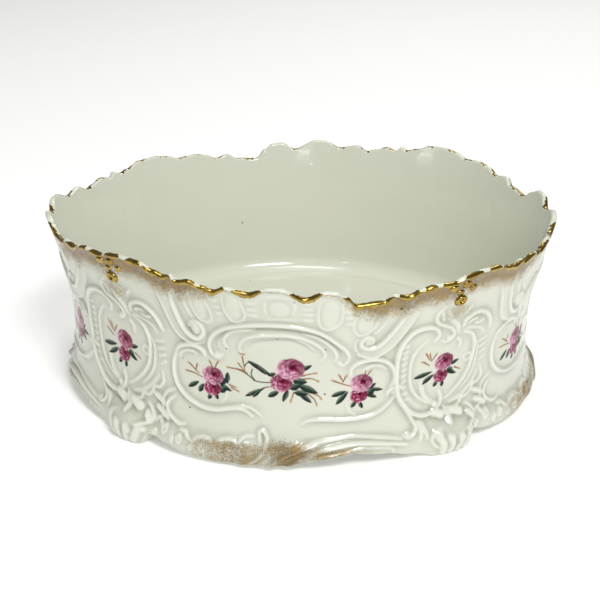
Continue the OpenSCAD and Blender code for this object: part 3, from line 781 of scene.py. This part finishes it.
def porcelain(name, painted=False):
    """Glaze that pools green in the hollows, with painted shade in the hollows and painted highlight on the
    ridges, iron specks and sponged gold, and paint if asked for.
    """
    g = Graph(name)
    # the cavity ramp is partly the glaze's real green pooling, partly painted shade darkening the hollows and
    # painted highlight lightening the ridges
    pooled_glaze_shade_and_highlight = g.ramp(g.remap(g.attribute("cavity"), -0.5, 0.5), [
        (0.0, (0.40, 0.43, 0.345)), (0.36, (0.59, 0.61, 0.525)), (0.5, (0.675, 0.69, 0.60)),
        (0.62, (0.70, 0.713, 0.632)), (1.0, (0.78, 0.79, 0.725))])
    tint = g.ramp(g.noise(14.0, 4.0, 0.55), [(0.3, (0.955, 0.965, 0.93)), (0.7, (1.0, 0.995, 0.985))])
    base = g.mix(1.0, pooled_glaze_shade_and_highlight, tint, "MULTIPLY")
    # iron specks
    spots = g.add("TexVoronoi", "Distance", {"Vector": g.coords(), "Scale": 46.0, "Randomness": 1.0})
    base = g.mix(g.remap(spots, 0.012, 0.03, 1.0, 0.0), base, (0.09, 0.07, 0.05, 1))
    # sponged gold: a thin ochre wash under fine specks, where the sponge attribute is high
    density = g.attribute("sponge")
    patch, grain = g.noise(210.0, 3.0, 0.6), g.noise(2600.0, 2.0, 0.75)
    level = g.math("ADD", density, g.math("MULTIPLY_ADD", patch, 1.3, -0.65))
    gate = g.remap(density, 0.02, 0.25)
    held = g.math("MULTIPLY", level, gate, clamp=True)
    ochre = g.mix(g.math("POWER", held, 3.0), (0.48, 0.41, 0.27, 1), (0.30, 0.20, 0.06, 1))
    base = g.mix(g.math("MULTIPLY", held, 0.75), base, ochre)
    fleck = g.remap(g.math("MULTIPLY_ADD", held, 0.15, grain), 0.595, 0.625)
    gold = g.math("MULTIPLY", fleck, gate)
    base = g.mix(gold, base, g.ramp(patch, [(0.4, (0.12, 0.08, 0.05)), (0.6, (0.27, 0.17, 0.045))]))
    if painted:
        cover = g.attribute("cover")
        drag = g.ramp(g.noise(900.0, 3.0, 0.6), [(0.25, (0.78, 0.78, 0.78)), (0.75, (1.0, 1.0, 1.0))])
        base = g.mix(cover, base, g.mix(1.0, g.attribute("paint", "Color"), drag, "MULTIPLY"))
        g.surface({"Specular IOR Level": g.remap(cover, 0.0, 1.0, 0.5, 0.12)})
    return g.surface({"Base Color": base, "Metallic": g.math("MULTIPLY", gold, 0.4),
                      "Roughness": g.remap(gold, 0.0, 1.0, 0.11, 0.42), "IOR": 1.5,
                      "Normal": g.bump(g.noise(160.0, 2.0), 0.12, 0.0004)})


def gilding():
    g = Graph("bright_gilding")
    wear = g.noise(190.0, 3.0)
    tone = g.ramp(wear, [(0.3, (0.25, 0.165, 0.035)), (0.5, (0.36, 0.25, 0.06)), (0.75, (0.52, 0.38, 0.11))])
    return g.surface({"Base Color": tone, "Roughness": g.remap(wear, 0.0, 1.0, 0.12, 0.3), "Metallic": 1.0,
                      "Normal": g.bump(wear, 0.1, 0.0003)})


def pale_floor():
    return Graph("pale_floor").surface({
        "Base Color": (0.97, 0.97, 0.97, 1), "Emission Color": (1, 1, 1, 1), "Emission Strength": 0.2,
        "Roughness": 0.9})


PORCELAIN = porcelain("glazed_porcelain")
PAINTED = porcelain("painted_porcelain", True)
GILT = gilding()


def finish_piece(obj, material, nodes):
    obj.data.materials.append(material)
    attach(obj, "root")
    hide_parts(*nodes)


# ---------------------------------------------------------------- the bowl
PANEL_HALF, SKIRT_HALF, FOOT_PIECE_HALF = 32.4, 37.8, 7.2
for k, side in enumerate(SIDES):
    middle = k * PANEL
    finish_piece(relief_slab("panel_relief_" + side, middle - PANEL_HALF, middle + PANEL_HALF),
                 PORCELAIN, ["panel_scrolls_" + side])
    finish_piece(skirt_piece("skirt_" + side, middle - SKIRT_HALF, middle + SKIRT_HALF),
                 PORCELAIN, ["foot_skirt_" + side])
for k, corner in enumerate(CORNERS):
    middle = (k + 0.5) * PANEL
    finish_piece(relief_slab("corner_relief_" + corner, k * PANEL + PANEL_HALF, (k + 1) * PANEL - PANEL_HALF),
                 PORCELAIN, ["corner_cartouche_" + corner])
    finish_piece(skirt_piece("foot_" + corner, middle - FOOT_PIECE_HALF, middle + FOOT_PIECE_HALF),
                 PORCELAIN, ["shell_foot_" + corner])
finish_piece(wall_core(), PORCELAIN, ["bowl_wall"])
finish_piece(floor_disc(), PORCELAIN, ["bowl_floor"])


# ---------------------------------------------------------------- gilding on the rim
# Dashes in the dips: (first angle, last angle) in the panel
DASHES = [
    (-45.6, -40.6), (-38.8, -34.6), (-34.4, -26.6), (-26.2, -20), (-20.2, -13), (-11.4, -4.2), (2.2, 9.8),
    (14.4, 27), (27.8, 33.6), (34.2, 37.4), (38.6, 43.4),
]
DASH_LIFT = 0.10
DASH_ROWS = 12


def rim_strip(t, q, out):
    """A point on the rim: q runs from 0, down the outside, to 1, just over the edge on the inside."""
    top = edge_height(t)
    rim_v = RIM - top + CROWN
    rim_r = np.linalg.norm(outside(t, rim_v)[..., :2], axis=-1) / MM
    down = 1.7 * np.clip(1 - q / 0.55, 0, 1)
    turn = np.radians(150) * np.clip((q - 0.55) / 0.45, 0, 1)
    skin = np.linalg.norm(outside(t, rim_v + down)[..., :2], axis=-1) / MM
    r = np.where(q < 0.55, skin + out, rim_r - RIM_THICK / 2 + (RIM_THICK / 2 + out) * np.cos(turn))
    z = np.where(q < 0.55, top - CROWN - down, top - CROWN + (CROWN + out) * np.sin(turn))
    return place(t, r, z)


def rim_gilding():
    verts, faces, count = [], [], 0
    rng = np.random.default_rng(7)
    for k in range(4):
        for start, stop in DASHES:
            n = int((stop - start) / 0.18) + 2
            s = np.linspace(0, 1, n)[:, None]
            t = k * PANEL + start + (stop - start) * s
            body = np.clip(1 - np.abs(2 * s - 1) ** 2.4, 0, 1) ** 0.75
            wobble = 0.06 * np.sin(s * 17 + rng.uniform(0, 6)) + 0.05 * np.sin(s * 41 + rng.uniform(0, 6))
            low = 0.56 - (0.40 + wobble) * body
            high = 0.58 + (0.34 + wobble) * body
            q = low + (high - low) * np.linspace(0, 1, DASH_ROWS)[None, :]
            front = rim_strip(t, q, DASH_LIFT)
            back = rim_strip(t, q, -0.05)
            verts.append(np.concatenate([front, back[:, ::-1]], 1).reshape(-1, 3))
            faces += tube_faces(n, 2 * DASH_ROWS, count)
            count += len(verts[-1])
    return make_mesh("rim_gold", np.vstack(verts), faces)


finish_piece(rim_gilding(), GILT, ["rim_gilding"])


# Gilt knots at each corner: (angle, depth, half width, half height, height, share of the hole)
KNOTS = [
    (42, 3.4, 2.6, 1.8, 1.2, 0), (45.4, 2.4, 2.4, 1.8, 1.2, 0), (47.6, 5, 2, 1.6, 1.1, 0),
    (44.2, 6.2, 2.2, 1.4, 1, 0), (44.8, 10.6, 3.4, 2.9, 1.6, 0.45),
]


def knots(name, middle):
    rings, around = 9, 28
    verts, faces, count = [], [], 0
    th = np.radians(np.arange(around) * 360 / around)[None, :]
    f = np.linspace(1, 0.04, rings)[:, None]
    for a, v, rx, ry, high, hole in KNOTS:
        t = middle - PANEL / 2 + a + rx * f * np.cos(th) / MM_PER_DEGREE
        y = unfired(a, v) + ry * f * np.sin(th)
        dome = high * np.sqrt(np.clip(1 - f ** 2, 0, 1))
        if hole:
            dome = high * (np.sqrt(np.clip(1 - ((f - 0.62) / 0.38) ** 2, 0, 1)) - 0.25 * (f < 0.24))
        top = outside(t, y, dome + 0.04)
        base = outside(t[:1], y[:1], -0.25)
        verts.append(np.concatenate([base, top], 0).reshape(-1, 3))
        faces += tube_faces(rings + 1, around, count)
        count += len(verts[-1])
    return make_mesh(name, np.vstack(verts), faces)


for k, corner in enumerate(CORNERS):
    finish_piece(knots("knots_" + corner, (k + 0.5) * PANEL), GILT, ["gilt_boss_" + corner])


# ---------------------------------------------------------------- painted rose sprays
def srgb(r, g, b):
    c = np.array([r, g, b]) / 255
    return np.where(c <= 0.04045, c / 12.92, ((c + 0.055) / 1.055) ** 2.4)


DEEP, ROSE = srgb(80, 0, 30), srgb(152, 6, 72)
PINK, PALE = srgb(214, 86, 148), srgb(246, 198, 222)
LEAF, LEAF_DARK, LEAF_LIGHT = srgb(50, 78, 64), srgb(18, 36, 32), srgb(120, 150, 124)
STEM, TWIG, BUD = srgb(60, 82, 58), srgb(152, 100, 58), srgb(192, 150, 92)
DAB_CELL = 0.225
PAINT_SCALE = outer_radius(0, RIM / 2) * math.pi / 180


class Canvas:
    """Paint for one spray: colour and cover on a grid of millimetres, x to the right and y down."""

    def __init__(self, a0, a1, v0, v1):
        self.a = np.arange(a0, a1, DAB_CELL / PAINT_SCALE)
        self.v = np.arange(v0, v1, DAB_CELL)
        self.x = (self.a * PAINT_SCALE)[:, None]
        self.y = self.v[None, :]
        self.colour = np.zeros((len(self.a), len(self.v), 3)) + PINK
        self.cover = np.zeros((len(self.a), len(self.v)))

    def lay(self, amount, colour):
        under = self.cover * (1 - amount)
        total = amount + under
        mix = np.where(total > 1e-6, amount / np.maximum(total, 1e-6), 0)[..., None]
        self.colour = self.colour * (1 - mix) + colour * mix
        self.cover = total

    def dab(self, x, y, rx, ry, turn, colour, strength=1.0, soft=0.35):
        """One touch of the brush: an oval with a soft edge."""
        s, k = sind(turn), cosd(turn)
        dx, dy = self.x - x, self.y - y
        d = np.sqrt(((dx * k + dy * s) / rx) ** 2 + ((dy * k - dx * s) / ry) ** 2)
        self.lay(strength * smooth((1 + soft / 2 - d) / soft), colour)

    def line(self, pts, wide, colour, strength=0.9, taper=0.4):
        path = curve_points(pts, PAINT_SCALE, 0.2)
        amount = np.zeros_like(self.cover)
        n = len(path)
        for i, (a, v) in enumerate(path):
            w = wide / 2 * (1 - taper * i / n) + 0.08
            d = np.hypot(self.x - a * PAINT_SCALE, self.y - v) / w
            amount = np.maximum(amount, smooth((1.35 - d) / 0.7))
        self.lay(strength * amount, colour)

    def leaf(self, start, stop, wide):
        """A pointed leaf from stalk to tip: dark on one side of its rib and light on the other."""
        x0, y0, x1, y1 = start[0] * PAINT_SCALE, start[1], stop[0] * PAINT_SCALE, stop[1]
        run = math.hypot(x1 - x0, y1 - y0)
        s, k = (y1 - y0) / run, (x1 - x0) / run
        dx, dy = self.x - (x0 + x1) / 2, self.y - (y0 + y1) / 2
        u = (dx * k + dy * s) / (run * 0.6)
        half = wide * 0.95 * np.clip(1 - u * u, 0, 1) ** 0.8 * (1 - 0.2 * u) + 1e-4
        side = (dy * k - dx * s) / half
        self.lay(0.96 * smooth((1.12 - np.abs(side)) / 0.3), LEAF * 0.5 + LEAF_DARK * 0.5)
        self.lay(0.85 * smooth((side - 0.05) / 0.2) * smooth((1.0 - side) / 0.3), LEAF_DARK)
        self.lay(0.75 * smooth((-side - 0.3) / 0.3) * smooth((0.85 + side) / 0.3), LEAF_LIGHT)
        self.line([start, stop], 0.22, LEAF_DARK, 0.7)

    def arc(self, x, y, r, start, stop, wide, colour, strength=0.85):
        at = np.linspace(start, stop, 5)
        self.line([((x + r * cosd(q)) / PAINT_SCALE, y + 0.85 * r * sind(q)) for q in at],
                  wide, colour, strength, 0.3)

    def rose(self, a, v, r, tone=0.5, turn=0):
        """A cabbage rose: petals lapped round a dark heart high on the right. Tone 1 is palest."""
        r *= 1.12
        x, y = a * PAINT_SCALE - 0.1 * r, v
        rng = np.random.default_rng(int(turn * 10 + r * 100))
        for count, out, size, share in ((7, 0.64, 0.4, 1), (6, 0.44, 0.32, 0.8), (4, 0.24, 0.22, 0.45)):
            cx, cy = x + 0.3 * (1 - out) * r, y - 0.2 * (1 - out) * r
            for k in range(count):
                at = turn + out * 200 + 360 * (k + rng.uniform(-0.2, 0.2)) / count
                px, py = cosd(at), 0.88 * sind(at)
                low_left = 0.5 + 0.5 * cosd(at - 140)
                pale = share * tone * (0.08 + 0.8 * low_left)
                body = DEEP * (0.6 - 0.5 * low_left) + ROSE * (0.4 + 0.5 * low_left)
                colour = body * (1 - pale) + PALE * pale
                inner, edge, lean = out - 0.12, out + size * 0.42, at + 90 + rng.uniform(-25, 25)
                self.dab(cx + px * r * inner, cy + py * r * inner, r * size, r * size * 0.85, at + 90,
                         DEEP * 0.85 + ROSE * 0.15, 0.95 - 0.2 * tone, 0.5)
                self.dab(cx + px * r * out, cy + py * r * out, r * size, r * size * 0.62, lean,
                         colour, 0.92, 0.4)
                self.dab(cx + px * r * edge, cy + py * r * edge, r * size * 0.6, r * 0.06, lean,
                         colour * 0.35 + PALE * 0.65, (0.25 + 0.6 * low_left) * (0.4 + 0.6 * tone), 0.9)
        self.dab(x + 0.22 * r, y - 0.16 * r, r * 0.26, r * 0.2, 20, DEEP * 0.9, 0.9, 0.7)
        self.arc(x + 0.2 * r, y - 0.14 * r, r * 0.2, turn, turn + 150, r * 0.08, ROSE * 0.6 + PINK * 0.4, 0.8)
        for k in range(16):
            at, out = rng.uniform(0, 360), rng.uniform(0.3, 0.95)
            px, py = cosd(at), 0.88 * sind(at)
            pale = cosd(at - 140) + rng.uniform(-0.6, 0.6) > 0
            self.dab(x + px * r * out, y + py * r * out, r * rng.uniform(0.1, 0.22), r * 0.05,
                     at + rng.uniform(40, 140), PALE if pale else DEEP, 0.75 if pale else 0.6, 0.8)


def spray(window, twigs, buds, leaves, roses, twig_width=0.75, bud_size=(0.85, 0.45), stems=(),
          closed_buds=()):
    """One spray: stems and twigs, loose buds, leaves, buds closed in their green cups, then roses."""
    c = Canvas(*window)
    for pts in stems:
        c.line(pts, 0.55, STEM, 0.9, 0.2)
    for pts in twigs:
        c.line(pts, twig_width, TWIG, 0.9, 0.5)
    for a, v, turn in buds:
        c.dab(a * PAINT_SCALE, v, *bud_size, turn, BUD, 0.85, 0.6)
    for each in leaves:
        c.leaf(*each)
    for cups, stalk, (a, v, rx, ry, turn), share, soft in closed_buds:
        for each in cups:
            c.leaf(*each)
        if stalk:
            c.line(stalk, 0.6, LEAF_DARK)
        c.dab(a * PAINT_SCALE, v, rx, ry, turn, ROSE * share + LEAF * (1 - share), 0.8, soft)
    for each in roses:
        c.rose(*each)
    return c


main_spray = spray(
    (-15.5, 11.5, 28.5, 59), twig_width=0.7, bud_size=(0.95, 0.55),
    stems=[[(-12, 39.6), (-10, 41), (-8, 43.5), (-7, 45), (-4, 45.4), (-1.5, 44.8)],
        [(-7.7, 39), (-8, 42), (-7, 45)], [(-9.8, 38), (-9, 36), (-8, 35.3)],
        [(-5, 48.4), (-4, 47.8), (-2, 47), (-0.5, 46)]],
    twigs=[[(6.5, 50.5), (8.3, 53.5), (8.8, 56)], [(7.5, 50), (9.5, 52), (10, 53)], [(3, 50), (2.3, 54)],
        [(5, 41.5), (7, 40.5), (8.4, 40.2)], [(5.5, 43), (7.5, 42.8), (9, 44)],
        [(-10.2, 33), (-10, 36), (-9.7, 40)], [(-14, 39.5), (-10.5, 40), (-9, 41.5)],
        [(-11.4, 36.6), (-10, 40)]],
    buds=[(-10.6, 31.3, 20), (-9.8, 31.6, -30), (8.6, 40, 0), (9.2, 44.2, 30), (10, 53.2, 60),
        (8.9, 56.2, 80), (-14.2, 39.4, 0), (2.2, 54.4, 90)],
    leaves=[((-3.5, 52.4), (-0.9, 49.6), 1.5), ((1.4, 49.3), (0.2, 54.6), 1.3),
        ((4.6, 50.4), (7.4, 55), 1.4), ((4.6, 46.6), (8.9, 50.2), 1.9), ((4.9, 38.4), (7.4, 36), 1.3),
        ((-3.6, 41.6), (-1.6, 40.4), 1.1), ((3, 44), (6.2, 44.6), 2), ((2.2, 48), (4.6, 46), 2),
        ((3.4, 50), (6.4, 50.8), 1.7)],
    closed_buds=[([((-8.4, 35.2), (-3.2, 41), 1.3), ((-6.6, 36.6), (-4.2, 41), 1.2)],
                  [(-4, 40.6), (-2.6, 42.2), (-1.6, 43)], (-5.9, 38, 1.4, 0.4, 50), 0.5, 0.6),
                 ([((-9.4, 53), (-5, 48.8), 1.2), ((-7.6, 53.2), (-5.6, 49.4), 0.9)],
                  (), (-8.4, 52.4, 0.8, 0.5, -35), 0.6, 0.5)],
    roses=[(-0.2, 45.6, 5.1, 0.22, 15), (2.2, 38.4, 6.3, 0.6, 40)])

left_flank_spray = spray(
    (-28.5, -10.2, 35.5, 60),
    twigs=[[(-14, 48.5), (-12.2, 49.5)], [(-13.4, 49.8), (-11.4, 51.5)], [(-19.2, 38), (-18.3, 41.5)],
        [(-17, 37.5), (-18, 41)], [(-25, 41), (-23.8, 43), (-22.6, 45)], [(-23, 41), (-23.5, 44)],
        [(-26, 45), (-24, 45.4), (-21.6, 46.8)]],
    buds=[(-19.3, 37.6, 60), (-16.9, 37.2, -50), (-25.4, 40.7, 40), (-22.9, 40.6, 90), (-26.3, 45, 0)],
    leaves=[((-25.6, 53), (-22.8, 49.6), 1.3), ((-22.6, 54.4), (-21.4, 50.4), 1.4),
        ((-20, 57.4), (-19, 54), 1.2), ((-17.4, 56.8), (-18, 53.6), 1.1), ((-17, 46.4), (-15.4, 45.6), 1.2),
        ((-14.4, 42.6), (-14.6, 47.8), 1.3), ((-16.4, 49), (-13.6, 51.6), 1.2),
        ((-16.6, 48.6), (-15, 45.6), 1.9), ((-16.8, 52.6), (-14.8, 50.2), 1.8)],
    roses=[(-18.8, 51.8, 4.3, 0.08, 50), (-18.6, 45.4, 5.2, 0.65, 20)])

right_flank_spray = spray(
    (11.5, 28, 38.5, 61),
    twigs=[[(13.3, 44.5), (16, 46.6), (18, 48)], [(14.8, 42), (15.8, 45.4)], [(16.4, 42.5), (15.8, 45)],
        [(21.5, 40.8), (21.3, 43.6)], [(22.8, 41), (21.8, 43.6)]],
    buds=[(13, 44.2, 20), (14.6, 41.6, 70), (16.6, 42.1, -60), (21.5, 40.4, 90), (23, 40.8, -40)],
    leaves=[((13, 52.2), (16.4, 50.2), 1.3), ((14.2, 56.2), (16.9, 50.8), 1.4),
        ((18, 58.6), (19.3, 55.6), 1.1), ((20.9, 59.4), (19.9, 55.6), 1.1), ((21.8, 52), (24.6, 54.8), 1.3),
        ((22.6, 49.8), (24.4, 47.6), 1.1), ((23.2, 50.4), (26.2, 51.2), 1.1),
        ((18.6, 44.8), (21.2, 43.8), 1.2), ((22.4, 52.6), (24, 50.4), 1.9)],
    roses=[(20, 53.2, 4.2, 0.1, 10), (20.6, 47, 5.2, 0.75, 55)])

corner_spray = spray(
    (34, 51, 34.5, 58), bud_size=(0.8, 0.45),
    twigs=[[(38.2, 37), (39.3, 40.6)], [(39.2, 37.6), (39.8, 40.8)], [(41, 38.4), (39.9, 41.4)],
        [(37.6, 41), (39.4, 43.4)], [(47.2, 47.8), (49, 49.6)]],
    buds=[(38, 36.6, 70), (39.2, 37.2, 90), (41.2, 38, -50), (37.2, 40.8, 20)],
    leaves=[((35.4, 48.6), (40, 47.2), 1.3), ((37.6, 52.2), (40.8, 48.8), 1.3),
        ((40.9, 55), (42.4, 52), 1.2), ((43.4, 56), (43.6, 53), 1.1), ((45.8, 45.4), (48.2, 44.2), 1.2),
        ((45, 48.6), (47.6, 51), 1.2), ((45, 47.6), (46.6, 49.6), 1.8)],
    roses=[(43, 50.6, 3.8, 0.1, 30), (43.7, 43.6, 5, 0.4, 60)])


DECAL_OUT, DECAL_IN = 0.05, -0.06


def decal(name, jobs):
    """Shells on the surface that carry the paint of each spray; jobs are (canvas, middle of its panel)."""
    verts, faces, normals, paint, cover, hollow, sponge = [], [], [], [], [], [], []
    count = 0
    for c, middle in jobs:
        a, v = np.meshgrid(c.a, c.v, indexing="ij")
        y = unfired(a, v)
        t = middle + a
        top = outside(t, y, DECAL_OUT)
        n = unit(np.cross(np.gradient(top, axis=1), np.gradient(top, axis=0)))
        on = c.cover > 0.02
        cell = on[:-1, :-1] | on[1:, :-1] | on[:-1, 1:] | on[1:, 1:]
        used = np.zeros(on.shape, bool)
        for di in (0, 1):
            for dj in (0, 1):
                used[di:di + cell.shape[0], dj:dj + cell.shape[1]] |= cell
        number = np.full(on.shape, -1)
        m = int(used.sum())
        number[used] = np.arange(m) + count
        verts += [top[used], outside(t, y, DECAL_IN)[used]]
        normals += [n[used], -n[used]]
        paint += [c.colour[used]] * 2
        cover += [c.cover[used]] * 2
        hollow += [on_sheet(cavity, t, y)[used]] * 2
        sponge += [sponge_density(t, y)[used]] * 2
        i, j = np.nonzero(cell)
        p, q, r, w = number[i, j], number[i + 1, j], number[i + 1, j + 1], number[i, j + 1]
        faces += np.stack([p, w, r, q], 1).tolist()
        faces += np.stack([p + m, q + m, r + m, w + m], 1).tolist()
        bare = ~np.pad(cell, 1)
        for first, second, beyond in ((q, p, bare[1:-1, :-2]), (p, w, bare[:-2, 1:-1]),
                                      (w, r, bare[1:-1, 2:]), (r, q, bare[2:, 1:-1])):
            edge = beyond[i, j]
            e, f = first[edge], second[edge]
            faces += np.stack([f, e, e + m, f + m], 1).tolist()
        count += 2 * m
    return make_mesh(name, np.vstack(verts), faces, np.vstack(normals),
                     {"cover": np.concatenate(cover), "cavity": np.concatenate(hollow),
                      "sponge": np.concatenate(sponge)},
                     np.hstack([np.vstack(paint), np.ones((count, 1))]))


# Iron specks burnt into the front's glaze: (angle, depth, radius)
SPECKS = [
    (3.3, 2, 0.35), (-1, 22.3, 0.35), (11, 27.7, 0.4), (11, 51, 0.5), (29, 9, 0.6), (-14.3, 29.5, 0.4),
    (18.7, 30, 0.3), (18.8, 32.5, 0.3), (-27, 39, 0.3),
]


def speck(a, v, r):
    c = Canvas(a - 0.7, a + 0.7, v - 1.2, v + 1.2)
    c.dab(a * PAINT_SCALE, v, r, r * 0.8, 20, srgb(40, 32, 26), 0.9, 0.6)
    return c


for name, sprays, specks in (("main", [main_spray], SPECKS),
                             ("flank", [left_flank_spray, right_flank_spray], ()),
                             ("corner", [corner_spray], ())):
    finish_piece(decal(name + "_roses", [(c, k * PANEL) for c in sprays for k in range(4)]
                       + [(speck(*each), 0) for each in specks]),
                 PAINTED, [name + "_rose_transfers"])


# ---------------------------------------------------------------- floor, light and camera
STAGE_HALF = 30.0


def stage_floor():
    mesh = bpy.data.meshes.new("stage_floor")
    s = STAGE_HALF
    mesh.from_pydata([(-s, -s, 0), (s, -s, 0), (s, s, 0), (-s, s, 0)], [], [(0, 1, 2, 3)])
    obj = add_object("stage_floor", mesh)
    obj.data.materials.append(pale_floor())


def aim(obj, target):
    direction = Vector(target) - Vector(obj.location)
    obj.rotation_euler = direction.to_track_quat("-Z", "Y").to_euler()


def area_light(name, place_at, size, power, target=(0, 0, 0.05)):
    data = bpy.data.lights.new(name, "AREA")
    data.shape = "RECTANGLE"
    data.size, data.size_y = size
    data.energy = power
    obj = add_object(name, data)
    obj.location = place_at
    aim(obj, target)


def camera():
    """Stands where the photograph was taken from: 20 degrees above the rim, a little to the right."""
    elevation, turn, below_rim = 20.1, 4.6, 3.63
    toward = np.array([-sind(turn), cosd(turn), 0])
    up = np.array([0, 0, 1])
    spot = RIM * MM * up + 6.0 * MEAN * MM * (sind(elevation) * up - cosd(elevation) * toward)
    look = elevation + below_rim
    target = spot + cosd(look) * toward - sind(look) * up
    data = bpy.data.cameras.new("camera")
    data.lens = 82.6
    data.sensor_width = 36.0
    obj = add_object("camera", data)
    obj.location = spot
    aim(obj, target)
    bpy.context.scene.camera = obj


def world():
    made = bpy.data.worlds.new("studio")
    made.use_nodes = True
    background = made.node_tree.nodes["Background"]
    background.inputs["Color"].default_value = (1, 0.98, 0.93, 1)
    background.inputs["Strength"].default_value = 0.24
    bpy.context.scene.world = made


stage_floor()
world()
area_light("key", (0.36, -0.86, 1.05), (0.4, 0.35), 11)
area_light("top", (-0.1, -0.2, 1.6), (0.5, 0.5), 6.3)
area_light("back", (0.35, 1.05, 1.0), (0.7, 0.3), 4)
area_light("sparkle", (-0.5, -1.1, 0.62), (0.07, 0.07), 0.4, (0, -0.05, 0.04))
area_light("glint_middle", (0.02, -1.25, 0.5), (0.14, 0.07), 0.25, (0, 0.1, 0.08))
area_light("glint_right", (-1.2, -0.75, 0.5), (0.16, 0.07), 0.3, (0, 0.1, 0.08))
camera()
bpy.context.scene.view_settings.view_transform = "Standard"
